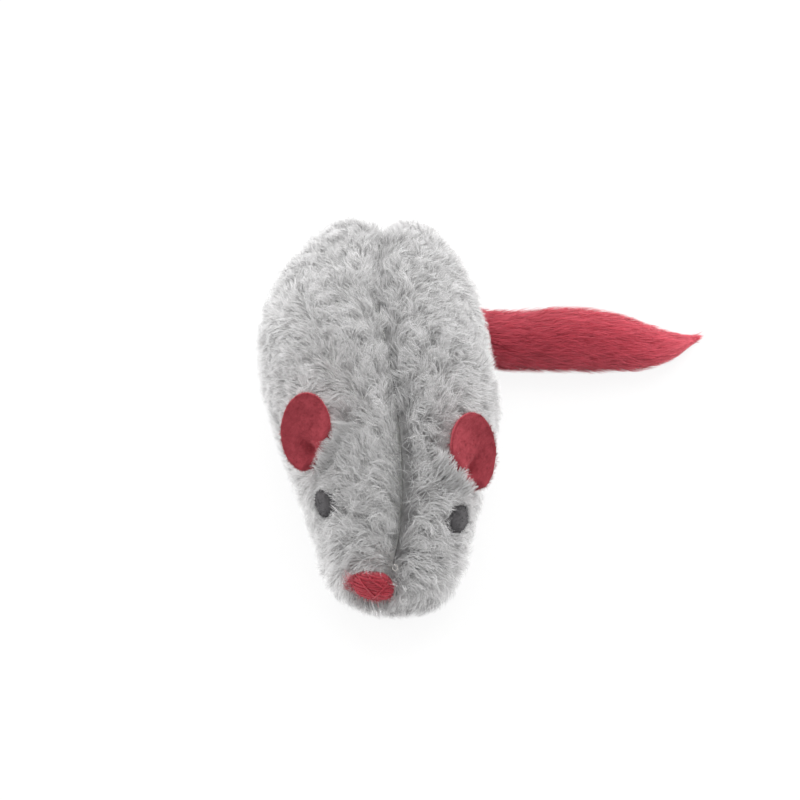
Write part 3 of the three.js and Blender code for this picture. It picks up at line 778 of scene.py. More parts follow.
def shortened(paths, axes, width, height, stray):
    """Strands that reach over an oval end at its edge, but for a few, and which of them stand free."""
    origin, across, upward, face = axes
    offset = paths - origin
    far = np.hypot(offset @ across / (width / 2), offset @ upward / (height / 2))
    far = np.where(np.abs(offset @ face) < 5, far, 9)
    over = far[:, 1:] < 1
    last = paths.shape[1] - 1
    first = np.where(over.any(1), over.argmax(1) + 0.55, last)
    first = np.where(draw.random(len(paths)) < stray, np.maximum(first, last - 1.4), first)
    share = (first / last)[:, None, None]
    return paths[:, :1] + (paths - paths[:, :1]) * share, far[:, 0] > 1.02


def clear_of_face(paths):
    """Strands that leave the ears, eyes and nose free, and which of them are kept."""
    keep = np.ones(len(paths), bool)
    for side in (1, -1):
        paths, rooted = shortened(paths, eye_axes(side), EYE_WIDTH, EYE_HEIGHT, EYE_STRAYS)
        keep &= rooted
        origin, edge, out, face = ear_axes(side)
        local = paths - origin
        x, y, z = local @ edge, local @ out, local @ face
        lean = -side * EAR_LEANS[side] * DEGREE
        u, v = x + side * EAR_SIDE, y - EAR_OUT
        reach = np.hypot(
            (u * math.cos(lean) + v * math.sin(lean)) / (EAR_HEIGHT / 2),
            (v * math.cos(lean) - u * math.sin(lean)) / (EAR_WIDTH / 2),
        )
        free = -0.2 - 1.2 * np.clip((np.abs(x) - EAR_HELD) / EAR_FREES, 0, 1)
        keep &= ~((np.abs(z) < FELT * 0.8) & (y > free) & (reach < 1.05)).any(1)
    paths, rooted = shortened(paths, nose_axes(), NOSE_WIDTH, NOSE_HEIGHT, NOSE_STRAYS)
    return paths, keep & rooted


def pile_headings(along, around, points):
    """Heading of the pile, from the way to the tail towards the side, and its bend."""
    from_seam = np.abs(around - seam_angle(along))
    head = np.clip((0.42 - along) / 0.3, 0, 1)
    base = 38 + 22 * head + 12 * np.clip(from_seam - 0.6, -0.5, 1)
    closed = np.clip((along - 0.5) / 0.2, 0, 1) * np.exp(-(from_seam / 0.16) ** 2)
    base -= (base + 12) * closed
    swirl = noise_at(points, 0.1, 3.7) * 95 + noise_at(points, 0.32, 9.1) * 85
    curl = 14 + 26 * head + noise_at(points, 0.3, 17.3) * 110
    return (base + swirl * (1 - 0.5 * head)) * DEGREE, curl * DEGREE


def fuller(points):
    """Height that the pile gains or loses in its fuller and thinner places."""
    height = np.zeros(len(points))
    for middle, reach, gain in PILE_SWELLS:
        height += gain * np.exp(-np.sum((points - middle) ** 2, -1) / reach ** 2)
    return height


def parted(along, around):
    """How much the pile is parted by the back seam, from 0 to 1 at the seam."""
    _, _, _, side_speed = body_frame(along, around)
    reach = SEAM_PART * (1 + SEAM_FRONT_SPREAD * np.exp(-((along - SEAM_FRONT) / 0.035) ** 2))
    away = np.abs(around - seam_angle(along)) * side_speed / reach
    front = np.clip((along - 0.02) / 0.03, 0, 1)
    rear = np.interp(along, *SEAM_FADES)
    return np.exp(-away ** 2) * front * rear


def pile_places(count, spacing=None):
    """Places of strands all over the body, their side, points, heading, bend and parting."""
    along, around = spread_points(count)
    points = body_point(along, around)
    if spacing:
        kept = thin_out(points, spacing)
        along, around, points = along[kept], around[kept], points[kept]
    side = np.where(around > seam_angle(along), 1, -1)
    return along, around, side, points, *pile_headings(along, around, points), parted(along, around)


def tufts():
    """Tufts of long strands, which gather towards the middle of their tuft."""
    along, around, side, points, heading, curl, part = pile_places(TUFT_TRIES, TUFT_SPACING)
    count = len(along)
    heading += draw.normal(0, 26, count) * DEGREE
    curl += draw.normal(0, 42, count) * DEGREE
    heading += (draw.normal(34, 12, count) * DEGREE - heading) * part
    curl *= 1 - 0.5 * part
    length = PILE_LENGTH * (0.62 + 0.38 * np.clip(along / 0.16, 0, 1)) * draw.uniform(0.7, 1.15, count)
    proud = 0.75 + 0.4 * noise_at(points, 0.3, 5.5) + draw.uniform(-0.45, 0.45, count) - part * 1.2
    rise = SKIN_DEPTH + (proud + fuller(points))
    tone = 0.5 + 0.25 * noise_at(points, 0.16, 12.9) + draw.uniform(-0.09, 0.09, count)
    # Painted shade: strands by the back seam are darker, more so on the head, as in the seam's shadowed
    # valley
    tone -= part * (0.18 + 0.2 * np.clip((0.5 - along) / 0.3, 0, 1))
    middles, _ = strand_paths(trace(along, around, side, heading, curl, length), rising(rise, 1.9))
    _, _, back_speed, side_speed = body_frame(along, around)

    owner = np.repeat(np.arange(count), TUFT_STRANDS)
    count, side, side_speed = len(owner), side[owner], side_speed[owner]
    angle = draw.uniform(0, 2 * math.pi, count)
    spread = TUFT_SPREAD * np.sqrt(draw.random(count)) * 1.15
    along = along[owner] + spread * np.cos(angle) / back_speed[owner]
    along = np.clip(along, -PILE_END, 1 + PILE_END)
    around = around[owner] + spread * np.sin(angle) / side_speed
    seam, gap = seam_angle(along), SEAM_GAP * np.interp(along, *SEAM_FADES)
    crosses = (around - seam) * side * side_speed < gap
    around = np.where(crosses, seam + side * gap / side_speed, around)
    places = trace(
        along, around, side,
        heading[owner] + draw.normal(0, 18, count) * DEGREE,
        curl[owner] + draw.normal(0, 30, count) * DEGREE,
        length[owner] * draw.uniform(0.68, 1.1, count),
    )
    heights = rising(rise[owner], 1.9) + draw.normal(0.05, 0.24, count)[:, None] * STRAND_SHARES ** 1.5
    paths, normals = strand_paths(places, heights)
    gather = 0.36 * STRAND_SHARES[:, None] ** 1.4 * draw.uniform(0.4, 1.4, count)[:, None, None]
    paths += (middles[owner] - paths) * np.clip(gather, 0, 0.9)
    widths = STRAND_WIDTH * draw.uniform(0.7, 1.25, count)
    tones = tone[owner] + draw.normal(0, 0.085, count)
    return paths, normals, widths, tones, side, along, draw.normal(0, 0.32, count)


def under_pile():
    """Short strands between the tufts."""
    along, around, side, points, heading, curl, part = pile_places(UNDER_STRANDS)
    count = len(along)
    heading += draw.normal(0, 35, count) * DEGREE
    places = trace(along, around, side, heading, curl, UNDER_LENGTH * draw.uniform(0.7, 1.2, count))
    rise = (draw.uniform(1.0, 2.5, count) + fuller(points)) * (1 - 0.55 * part)
    # Painted shade: strands by the back seam are darker, as in the seam's shadowed valley
    tones = 0.5 + draw.normal(0, 0.09, count) - part * 0.6
    widths = STRAND_WIDTH * draw.uniform(0.8, 1.3, count)
    return *strand_paths(places, rising(rise, 2)), widths, tones, side, along, draw.normal(0, 0.35, count)


def wisps():
    """Single loose hairs over the tufts."""
    along, around, side, points, heading, curl, part = pile_places(WISPS)
    count = len(along)
    heading += draw.normal(0, 55, count) * DEGREE
    curl += draw.normal(0, 60, count) * DEGREE
    places = trace(along, around, side, heading, curl, WISP_LENGTH * draw.uniform(0.6, 1.2, count))
    rise = SKIN_DEPTH + 1.0 + draw.uniform(-0.2, 0.55, count) + fuller(points) - part * 1.6
    # Painted shade: wisps by the back seam are darker, as in the seam's shadowed valley
    tones = 0.62 + draw.normal(0, 0.1, count) - part * 0.4
    widths = WISP_WIDTH * draw.uniform(0.8, 1.2, count)
    return *strand_paths(places, rising(rise, 1.6)), widths, tones, side, along, draw.normal(0, 0.5, count)


def body_pile():
    """The pile all over the body, in pieces by side and part."""
    strands = zip(tufts(), under_pile(), wisps())
    paths, normals, widths, tones, side, along, roll = (np.concatenate(parts) for parts in strands)
    paths, free = clear_of_face(paths)
    foot_height = paths[:, 0, 2]
    tones += PALER_SNOUT * np.clip((0.1 - along) / 0.1, 0, 1)
    # Painted light: the rear and the low sides are paler, as lit from the bright room all round
    tones += PAINTED_LIGHT_REAR * np.clip((along - 0.7) / 0.25, 0, 1)
    tones += PAINTED_LIGHT_LOW_SIDES * np.clip((24 - foot_height) / 12, 0, 1)
    low = foot_height < BELLY_SEAM_HEIGHT

    def grown(name, chosen, replaced):
        every = (one[chosen] for one in (paths, normals, roll, widths, tones))
        on_body(strands_piece(name, *every, GREY_PILE), "grey_plush", replaced)

    for one in (1, -1):
        name = SIDE_NAMES[one]
        for part, (first, last) in PILE_PARTS.items():
            chosen = free & ~low & (side == one) & (along >= first) & (along < last)
            grown(f"pile_{name}_{part}", chosen, f"side_panel_{name}")
    grown("pile_belly", free & low, "belly_panel")


def on_body(piece, slot, *nodes, body="mouse_body"):
    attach(piece, body)
    if nodes:
        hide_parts(*nodes)


def cloth_piece(name, first_angle, last_angle, along, columns, replaced):
    """A stretch of backing cloth between two angles round the body."""
    share = np.linspace(0, 1, columns)
    around = first_angle[:, None] + (last_angle - first_angle)[:, None] * share
    points = body_point(np.repeat(along[:, None], columns, 1), around, SKIN_DEPTH).reshape(-1, 3)
    piece = new_piece(name, points, grid_quads(len(along), columns), GREY_BACKING_PAINTED_SHADE)
    on_body(piece, "grey_plush", replaced)


def backing_cloth():
    along = np.linspace(-CAP, 1 + CAP, 150)
    top, low = seam_angle(along), belly_angle(along)
    cloth_piece("plush_left", top, low, along, 60, "side_panel_left")
    cloth_piece("plush_right", top - 2 * math.pi, -low, along, 60, "side_panel_right")
    cloth_piece("plush_belly", low, 2 * math.pi - low, along, 30, "belly_panel")


def whorl(name, along, heading, tone):
    """Pile over one end of the body, where its sections close."""
    end = body_point(np.array([along]), np.array([0.0]))[0]
    _, _, top, low, bend, _ = section_at(np.array([along]))
    face = np.array([0.0, np.sign(along - 0.5), 0.0])
    middle = np.array([bend[0], end[1], (top[0] + low[0]) / 2])
    axes = (middle, np.array([-face[1], 0.0, 0.0]), np.array([0.0, 0.0, 1.0]), face)
    count = WHORL_STRANDS
    turn = draw.uniform(0, 2 * math.pi, count)
    reach = WHORL_REACH * np.sqrt(draw.random(count))
    u, v = reach * np.cos(turn), reach * np.sin(turn)
    swirl = noise_of(u * 0.5, v * 0.5, along * 3)
    angle = heading * DEGREE + swirl * 2.2 + draw.normal(0, 0.4, count)
    curl = draw.normal(0.3, 0.7, count)
    length = PILE_LENGTH * draw.uniform(0.55, 0.95, count)
    rise = SKIN_DEPTH + 0.6 + swirl * 0.9 + draw.uniform(-0.4, 0.5, count)
    paths = []
    for share, lift in zip(STRAND_SHARES, rising(rise, 1.9).T):
        ahead, turned = length * share, angle + curl * share
        paths.append(laid_on_body(axes, u + ahead * np.cos(turned), v + ahead * np.sin(turned), lift))
    paths, free = clear_of_face(np.stack(paths, 1))
    roll, widths, tones = strand_looks(count, roll=0.4, tone=0, tone_spread=0.08)
    tones += tone + 0.2 * swirl
    piece = strands_piece(name, paths[free], face, roll[free], widths[free], tones[free], GREY_PILE)
    on_body(piece, "grey_plush")


# Ears

def ear_surface(side, rho, alpha):
    """Points of an ear's middle layer, in the ear's own axes."""
    lean = -side * EAR_LEANS[side] * DEGREE
    u = EAR_HEIGHT / 2 * rho * np.cos(alpha)
    v = EAR_WIDTH / 2 * rho * np.sin(alpha)
    x = -side * EAR_SIDE + u * math.cos(lean) - v * math.sin(lean)
    y = EAR_OUT + u * math.sin(lean) + v * math.cos(lean)
    lowest = -0.7 - 1.4 * np.clip((np.abs(x) - EAR_HELD) / EAR_FREES, 0, 1)
    y = np.where(y < lowest, lowest + (y - lowest) * 0.1, y)
    cup = 0.95 * rho ** 2 - 0.45
    fold_x = side * 0.4 - side * 0.28 * y
    fold = -1.25 * np.exp(-(((x - fold_x) / 1.0) ** 2)) * np.exp(-((np.maximum(y, 0) / 3.4) ** 2))
    shoulders = 0.75 * np.exp(-np.maximum(y, 0) / 2.6) * np.clip(np.abs(x - fold_x) / 3, 0, 1)
    held = np.clip(y / 1.2 + 0.4, 0, 1)
    return x, y, (cup + fold + shoulders) * held


def felt_ear(side):
    """A cupped leaf of felt with a rounded edge, pinched where it is sewn on."""
    origin, edge, out, face = ear_axes(side)
    columns, rim = 96, 5
    alpha = np.arange(columns) / columns * 2 * math.pi
    flat_part = np.linspace(0.02, 0.965, 26)
    layers = [(rho, FELT / 2) for rho in flat_part]
    for k in range(1, rim):
        turn = k / rim * math.pi
        layers.append((0.965 + 0.06 * math.sin(turn), math.cos(turn) * FELT / 2))
    layers += [(rho, -FELT / 2) for rho in flat_part[::-1]]
    x, y, z = np.concatenate([
        ear_surface(side, rho, alpha) + np.array([[0], [0], [lift]]) for rho, lift in layers
    ], 1)[..., None]
    points = origin + x * edge + y * out + z * face
    rough = noise_at(points, 1.9, 4.2) * 0.07 + noise_at(points, 0.55, 1.3) * 0.16
    points += face * rough[:, None]
    points = np.concatenate([points, points[:columns].mean(0)[None], points[-columns:].mean(0)[None]])
    faces = capped_faces(len(layers), columns)
    if side * np.dot(np.cross(edge, out), face) > 0:
        faces = [corners[::-1] for corners in faces]
    name = SIDE_NAMES[side]
    piece = new_piece(f"felt_ear_{name}", points, faces, RED_FELT)
    on_body(piece, "red_felt", f"ear_{name}", body=f"{name}_ear")


def fuzz_piece(name, roots, away, face, width, reaches, length, material):
    """Short loose fibres that leave their roots in their directions and bend at random."""
    count = len(roots)
    bend = draw.normal(0, 0.3, (count, 3))
    share = np.linspace(0, 1, 4)[:, None]
    reach = draw.uniform(*reaches, count)[:, None, None] * length
    paths = roots[:, None] + reach * (away[:, None] * share + bend[:, None] * share ** 2)
    roll, tones = draw.uniform(0, 3, count), draw.uniform(0.2, 0.8, count)
    return strands_piece(name, paths, face, roll, np.full(count, width), tones, material)


def ear_fuzz(side):
    """Loose fibres of an ear's felt, many of them at its edge."""
    origin, edge, out, face = ear_axes(side)
    count = EAR_FIBRES
    rho = np.where(draw.random(count) < 0.45, 1.0, np.sqrt(draw.random(count)))
    alpha = draw.uniform(0, 2 * math.pi, count)
    x, y, z = ear_surface(side, rho, alpha)
    top = np.where(draw.random(count) < 0.6, 1, -1)
    roots = origin + x[:, None] * edge + y[:, None] * out + (z + top * FELT / 2 * 0.95)[:, None] * face
    away = unit(
        draw.normal(0, 0.7, (count, 3)) + face * (top * 0.5)[:, None]
        + circling(alpha, edge, out) * (rho > 0.99)[:, None] * 0.9
    )
    name = SIDE_NAMES[side]
    piece = fuzz_piece(
        f"ear_fuzz_{name}", roots, away, face, width=0.07, reaches=(0.25, 0.75), length=1, material=FELT_FUZZ
    )
    on_body(piece, "red_felt", body=f"{name}_ear")


def ear_fringe(side):
    """Pile in front of an ear that stands up over its sewn edge."""
    origin, edge, out, face = ear_axes(side)
    count, share = FRINGE_STRANDS, STRAND_SHARES
    along_edge = draw.uniform(-1, 1, count)
    x = -side * EAR_SIDE + along_edge * FRINGE_HALF
    tuft = noise_of(x * 0.9, side * 3.3, 0.5)
    outer = np.clip(0.5 - side * along_edge * 0.6, 0.15, 1)
    reach = np.clip(0.5 + 3.4 * tuft, -0.4, 2.6) * draw.uniform(0.5, 1.25, count) * outer
    drift = draw.normal(0.1, 0.9, count) + tuft * 2.2
    front = draw.uniform(-0.2, 0.6, count)
    foot = draw.uniform(-4.2, -2.4, count)[:, None]
    x = x[:, None] + side * drift[:, None] * (share ** 1.3 - 0.4) * 1.2
    y = foot + (reach[:, None] - foot) * share
    lift = 0.75 + 0.5 * np.sin(share * math.pi) - 0.1 * share
    z = front[:, None] * (1 - share) + lift + draw.normal(0, 0.12, count)[:, None]
    paths = origin + x[..., None] * edge + y[..., None] * out + z[..., None] * face
    looks = strand_looks(count, roll=0.5, tone=0.55, tone_spread=0.09)
    name = SIDE_NAMES[side]
    piece = strands_piece(f"ear_fringe_{name}", paths, face, *looks, GREY_PILE)
    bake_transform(piece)


# Eyes and nose

def laid_on_body(axes, u, v, lift):
    """Points over the body's surface, straight below places in a patch's plane."""
    origin, across, upward, face = axes
    points = []
    for a, b, height in zip(np.ravel(u), np.ravel(v), np.ravel(lift)):
        start = origin + across * a + upward * b + face * 12
        hit, _, _, _ = body_tree.ray_cast(Vector(start), Vector(-face))
        if hit is None:
            hit, _, _, _ = body_tree.find_nearest(Vector(origin + across * a + upward * b))
        points.append(np.array(hit) + face * height)
    return np.array(points)


def pad_lift(rho, base, crown):
    """Height of a crowned pad, by the share of the way to its edge."""
    return base + crown * np.sqrt(np.maximum(0, 1 - np.minimum(rho, 1) ** 2.6))


def pad_on_body(axes, width, height, base, crown, ragged, seed):
    """A low crowned pad with a ragged edge, laid on the body."""
    rings, columns = 14, 72
    alpha = np.arange(columns) / columns * 2 * math.pi
    cos, sin = np.cos(alpha), np.sin(alpha)
    rough = noise_of(cos * 4, sin * 4, seed) + 0.6 * noise_of(cos * 13, sin * 13, seed)
    rho = (np.arange(rings + 1) / rings)[:, None]
    edge = 1 + ragged * rough * rho
    u, v = width / 2 * rho * edge * cos, height / 2 * rho * edge * sin
    lift = np.repeat(pad_lift(rho, base, crown), columns, 1)
    u, v = np.concatenate([u, u[-1:] * 0.97]), np.concatenate([v, v[-1:] * 0.97])
    lift = np.concatenate([lift, np.full((1, columns), base - 1.1)])
    faces = [(a, d, c, b) for a, b, c, d in ring_faces(len(u), columns)]
    faces.append(range(u.size - columns, u.size)[::-1])
    return laid_on_body(axes, u, v, lift), faces


def pad_fuzz(name, axes, width, height, base, crown, count, length, material, slot):
    """Loose fibres of a pad, half of them at its edge."""
    rho = np.where(draw.random(count) < 0.5, draw.uniform(0.9, 1.03, count), np.sqrt(draw.random(count)))
    alpha = draw.uniform(0, 2 * math.pi, count)
    lift = pad_lift(rho, base, crown) - 0.05
    roots = laid_on_body(axes, width / 2 * rho * np.cos(alpha), height / 2 * rho * np.sin(alpha), lift)
    _, across, upward, face = axes
    away = unit(
        circling(alpha, across, upward) * rho[:, None] * 0.8 + face * 0.35 + draw.normal(0, 0.5, (count, 3))
    )
    piece = fuzz_piece(
        name, roots, away, face, width=0.08, reaches=(0.4, 1), length=length, material=material
    )
    on_body(piece, slot)


def felt_eye(side):
    name = SIDE_NAMES[side]
    oval = eye_axes(side), EYE_WIDTH, EYE_HEIGHT, *EYE_PAD
    piece = new_piece(f"felt_eye_{name}", *pad_on_body(*oval, ragged=0.09, seed=3 + side), DARK_FELT)
    on_body(piece, "dark_felt", f"eye_{name}")
    pad_fuzz(f"eye_fuzz_{name}", *oval, count=700, length=0.7, material=EYE_FUZZ, slot="dark_felt")


def satin_stitches(axes):
    """Tubes of the stitches side by side across the nose."""
    tubes = []
    share = np.linspace(-1, 1, STITCH_POINTS)
    for k in range(NOSE_STITCHES):
        down = (k / (NOSE_STITCHES - 1) - 0.5) * 2
        half = math.sqrt(max(0.02, 1 - (down * 0.93) ** 2)) * NOSE_WIDTH / 2
        lean = -0.3 + 0.12 * math.sin(k * 2.3)
        u = share * half * 0.97 + 0.12 * math.sin(k * 5.1)
        v = down * NOSE_HEIGHT / 2 * 0.93 + lean * share * 0.7 + 0.06 * np.sin(share * 3 + k)
        lift = 0.62 + 0.42 * np.sqrt(1 - share ** 4) * math.sqrt(1 - (down * 0.93) ** 2 * 0.8)
        lift = lift + 0.08 * math.sin(k * 3.7)
        lift[[0, -1]] -= 0.7
        tubes.append(tube(laid_on_body(axes, u, v, lift), SATIN_RADIUS, 7))
    return tubes


def crossing_stitches(axes):
    """Tubes of the few stitches that cross the others."""
    tubes = []
    share = np.linspace(0, 1, STITCH_POINTS)
    for start, end in NOSE_CROSSES:
        u, v = (a + (b - a) * share for a, b in zip(start, end))
        lift = 1.2 + 0.18 * np.sin(share * math.pi)
        lift[[0, -1]] -= 0.8
        tubes.append(tube(laid_on_body(axes, u, v, lift), CROSSING_RADIUS, 7))
    return tubes


def stitched_nose():
    axes = nose_axes()
    oval = axes, NOSE_WIDTH, NOSE_HEIGHT
    piece = new_piece("nose_pad", *pad_on_body(*oval, *NOSE_PAD, ragged=0.05, seed=8), RED_THREAD)
    on_body(piece, "red_thread", "nose")
    tubes = satin_stitches(axes) + crossing_stitches(axes)
    piece = new_piece("nose_stitches", *joined(tubes), RED_THREAD)
    on_body(piece, "red_thread", "nose_thread")
    pad_fuzz(
        "nose_fibres", *oval, *NOSE_FIBRES_PAD, count=500, length=1.1, material=NOSE_FIBRES, slot="red_thread"
    )
    loose_ends(axes)


def loose_ends(axes):
    """Frayed ends of the nose's thread, lying out over the pile."""
    count = NOSE_ENDS
    beside = draw.choice([0, 1], count, p=[0.7, 0.3]) == 0
    u = np.where(beside, -NOSE_WIDTH * 0.44, NOSE_WIDTH * 0.1) + draw.normal(0, 0.5, count)
    v = np.where(beside, 0.3, -NOSE_HEIGHT * 0.42) + draw.normal(0, 0.9, count)
    to_u = u + np.where(beside, -1.0, 0.3) * draw.uniform(0.5, 2.2, count)
    to_v = v + np.where(beside, 0.1, -1.0) * draw.uniform(0.2, 1.6, count) + draw.normal(0, 0.5, count)
    paths = np.stack([
        laid_on_body(
            axes, u + (to_u - u) * part, v + (to_v - v) * part + 0.3 * np.sin(part * 3 + u * 2),
            0.9 + draw.normal(0.1, 0.25, count) * part + 0.4 * math.sin(part * math.pi),
        )
        for part in STRAND_SHARES
    ], 1)
    roll, tones = draw.normal(0, 0.6, count), draw.uniform(0.3, 0.8, count)
    piece = strands_piece("nose_loose_ends", paths, axes[3], roll, np.full(count, 0.09), tones, NOSE_FIBRES)
    on_body(piece, "red_thread")


# Threads

def stitch_piece(name, lines, radius, replaced, material=GREY_THREAD):
    piece = new_piece(name, *joined([tube(line, radius) for line in lines]), material)
    on_body(piece, "grey_thread", replaced)


def back_seam():
    """The thread down in the back seam, and its loose end at the front."""
    along = np.linspace(*SEAM_SPAN, SEAM_POINTS)
    line, normal, _, _ = body_frame(along, seam_angle(along))
    wave = 0.12 * np.sin(np.arange(SEAM_POINTS) * 1.1)
    depth = SKIN_DEPTH - wave + 0.25 * np.clip((along - 0.4) / 0.2, 0, 1)
    sunk = line - normal * depth[:, None]
    # Its thread is darkened as painted shade, down in the seam
    stitch_piece("back_seam_stitches", [sunk], SEAM_THREAD_RADIUS, "back_seam_thread", SEAM_THREAD_PAINTED_SHADE)
    point, up = line[LOOSE_END_AT], normal[LOOSE_END_AT]
    forward = unit(point - line[LOOSE_END_AT + 2])
    aside = np.cross(up, forward)
    curl = [point + up * height + forward * ahead + aside * out for height, ahead, out in LOOSE_END]
    stitch_piece("loose_thread_end", [curve_through(curl, 40)], SEAM_THREAD_RADIUS, "back_seam_thread")


def ear_stitches(side):
    """The few stitches that hold an ear, deep in the pile in front of it."""
    origin, edge, _, face = ear_axes(side)
    lines = []
    for k in range(EAR_STITCHES):
        start = (k - (EAR_STITCHES - 1) / 2) * EAR_STITCH_PITCH
        ends = [origin + edge * (start + EAR_STITCH_LENGTH * t) + face * (0.7 + 0.5 * t) for t in (0, 1)]
        hits = [body_tree.find_nearest(Vector(end)) for end in ends]
        middle = [np.array(hit[0]) - np.array(hit[1]) * 1.2 for hit in hits]
        low = [point - np.array(hit[1]) * 0.6 for point, hit in zip(middle, hits)]
        lines.append(curve_through([low[0], middle[0], middle[1], low[1]], STITCH_POINTS))
    name = SIDE_NAMES[side]
    stitch_piece(f"ear_stitches_{name}", lines, EAR_THREAD_RADIUS, f"ear_thread_{name}")


def closing_stitches():
    """Hand stitches that close the rear end above the tail, drawn down into the pile."""
    lines = []
    share = np.linspace(-1, 1, 12)
    for k in range(CLOSING_STITCHES):
        for turn, lean in ((1, 0.1), (-1, 0.16)):
            along = CLOSING_AT + 0.012 * share * turn
            points, normal, _, _ = body_frame(along, CLOSING_FROM + CLOSING_STEP * k + lean * share)
            lines.append(points - normal * (1.5 + 0.5 * share[:, None] ** 4))
    stitch_piece("closing_stitches", lines, CLOSING_THREAD_RADIUS, "closing_thread")


# Tail

def tail_line():
    """Points and radii of the tail's middle from its root round the bend to its tip, and the way there."""
    root, bend = joint_place("tail_swing"), joint_place("tail_bend")
    span = np.linalg.norm(bend - root)
    leaves, arrives = (
        np.array([math.cos(degrees * DEGREE), math.sin(degrees * DEGREE), 0])
        for degrees in (TAIL_LEAVES, TAIL_ARRIVES)
    )
    share = np.linspace(0, 1, 30)[:, None]
    root_part = (
        (1 - share) ** 3 * root + 3 * share * (1 - share) ** 2 * (root + leaves * span * 0.5)
        + 3 * share ** 2 * (1 - share) * (bend - arrives * span * 0.33) + share ** 3 * bend
    )
    reach = np.linspace(0, 1, 64)
    swell = smooth_line(TAIL_SWELL, reach) * TAIL_THICKNESS / 2
    end_part = np.stack([
        bend[0] + TAIL_END_LENGTH * reach,
        bend[1] + smooth_line(TAIL_DRIFT, reach) * TAIL_THICKNESS,
        swell + TAIL_FLOOR_GAP,
    ], -1)
    root_part[:, 2] += (end_part[0, 2] - bend[2]) * share[:, 0] ** 2
    first_radius = TAIL_GATHER[0] * TAIL_THICKNESS / 2
    start = np.linspace(0, 1, 10)[:-1]
    start_part = root - leaves * ((1 - start) * first_radius)[:, None]
    start_radius = first_radius * np.sqrt(1 - (1 - start) ** 2) + 0.05
    root_radius = smooth_line(TAIL_GATHER, share[:-1, 0]) * TAIL_THICKNESS / 2
    line = np.concatenate([start_part, root_part[:-1], end_part])
    travelled = way_along(line)
    even = np.linspace(0, travelled[-1], TAIL_POINTS)
    radii = np.interp(even, travelled, np.concatenate([start_radius, root_radius, swell]))
    line = evened(np.stack([np.interp(even, travelled, column) for column in line.T], -1), TAIL_EVENED)
    return line, radii, way_along(line)


def way_along(line):
    return np.concatenate([[0], np.cumsum(np.linalg.norm(np.diff(line, axis=0), axis=1))])


def evened(points, spread):
    """A line of evenly spaced points without its tight bends, its two ends kept."""
    reach = 3 * spread
    weight = np.exp(-0.5 * (np.arange(-reach, reach + 1) / spread) ** 2)
    before = 2 * points[:1] - points[reach:0:-1]
    after = 2 * points[-1:] - points[-2:-reach - 2:-1]
    longer = np.concatenate([before, points, after])
    return np.stack([np.convolve(column, weight / weight.sum(), "valid") for column in longer.T], -1)


def along_tail(tail, distance):
    """Middle, radius, side and top of the tail at distances along it."""
    line, radii, travelled = tail
    total = travelled[-1]
    spot = np.clip(distance, 0, total)

    def place(where):
        return np.stack([np.interp(np.clip(where, 0, total), travelled, column) for column in line.T], -1)

    forward = unit(place(spot + 0.6) - place(spot - 0.6))
    side = unit(np.cross(forward, [0.0, 0.0, 1.0]))
    past = np.maximum(distance - total, 0)[:, None]
    return place(spot) + forward * past, np.interp(spot, travelled, radii), side, np.cross(side, forward)


def on_tail(piece):
    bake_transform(piece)
    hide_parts("tail_root", "tail_end")


def tail_binding(tail):
    """A few turns of thread that draw the tail together near its root."""
    turn = np.linspace(0, BINDING_TURNS * 2 * math.pi, 150)
    distance = BINDING_AT + BINDING_PITCH * turn / (2 * math.pi) + 0.12 * np.sin(turn * 0.7)
    middle, radius, side, top = along_tail(tail, distance)
    reach = radius - BINDING_DEPTH + 0.06 * np.sin(turn * 3.1)
    ring = middle + circling(turn, side, top) * reach[:, None]
    piece = new_piece("tail_binding", *tube(ring, BINDING_RADIUS), RED_THREAD)
    on_body(piece, "red_thread", "tail_thread", body="tail_base")


def tail_collar():
    """Pile of the body round the place where the tail is sewn in, lying over its gathered start."""
    joint = joint_place("tail_swing")
    count = COLLAR_STRANDS
    turn = draw.uniform(0, 2 * math.pi, count)
    reach = draw.uniform(*COLLAR_REACH, count)
    round_tail = circling(turn, np.array([1, 0, 0]), np.array([0, 0, 1]))
    roots, normals = [], []
    for place in joint + round_tail * reach[:, None]:
        start = Vector((place[0], BODY_LENGTH * 0.7, max(place[2], 1.0)))
        hit, normal, _, _ = body_tree.ray_cast(start, Vector((0, -1, 0)))
        roots.append(hit)
        normals.append(normal)
    roots, normals = np.array(roots), np.array(normals)
    above = np.clip(np.sin(turn), -0.2, 1)
    tuft = noise_of(np.cos(turn) * 3, np.sin(turn) * 3, 2.0)
    over = COLLAR_OVER * (0.55 + 0.45 * above) * draw.uniform(0.35, 1.2, count) + 2.2 * tuft
    close = TAIL_GATHER[0] * TAIL_THICKNESS / 2 + draw.uniform(0.1, 1.0, count)
    ends = joint + round_tail * close[:, None]
    ends[:, 1] = joint[1] + over
    ends += draw.normal(0, 0.55, (count, 3)) + 1.6 * tuft[:, None]
    middles = (roots + ends) / 2 + normals * draw.uniform(0.7, 2.0, count)[:, None]
    middles += draw.normal(0, 0.5, (count, 3)) + 1.4 * tuft[:, None]
    foot = roots - normals * SKIN_DEPTH
    share = np.linspace(0, 1, 6)[:, None]
    paths = (
        (1 - share) ** 2 * foot[:, None] + 2 * share * (1 - share) * middles[:, None]
        + share ** 2 * ends[:, None]
    )
    paths[..., 2] = np.maximum(paths[..., 2], FLOOR_CLEAR)
    looks = strand_looks(count, roll=0.5, tone=0.52, tone_spread=0.09)
    on_body(strands_piece("tail_collar", paths, normals[:, None], *looks, GREY_PILE), "grey_plush")


def fur_tail():
    tail = line, radii, _ = tail_line()
    cloth = new_piece("tail_sleeve", *tube(line, np.maximum(radii - TAIL_SKIN, 0.25), 28), RED_BACKING)
    on_tail(cloth)
    tail_binding(tail)
    for name in ("tail_fur", "tail_fur_under", "tail_fur_over"):
        on_tail(tail_strands(name, tail))


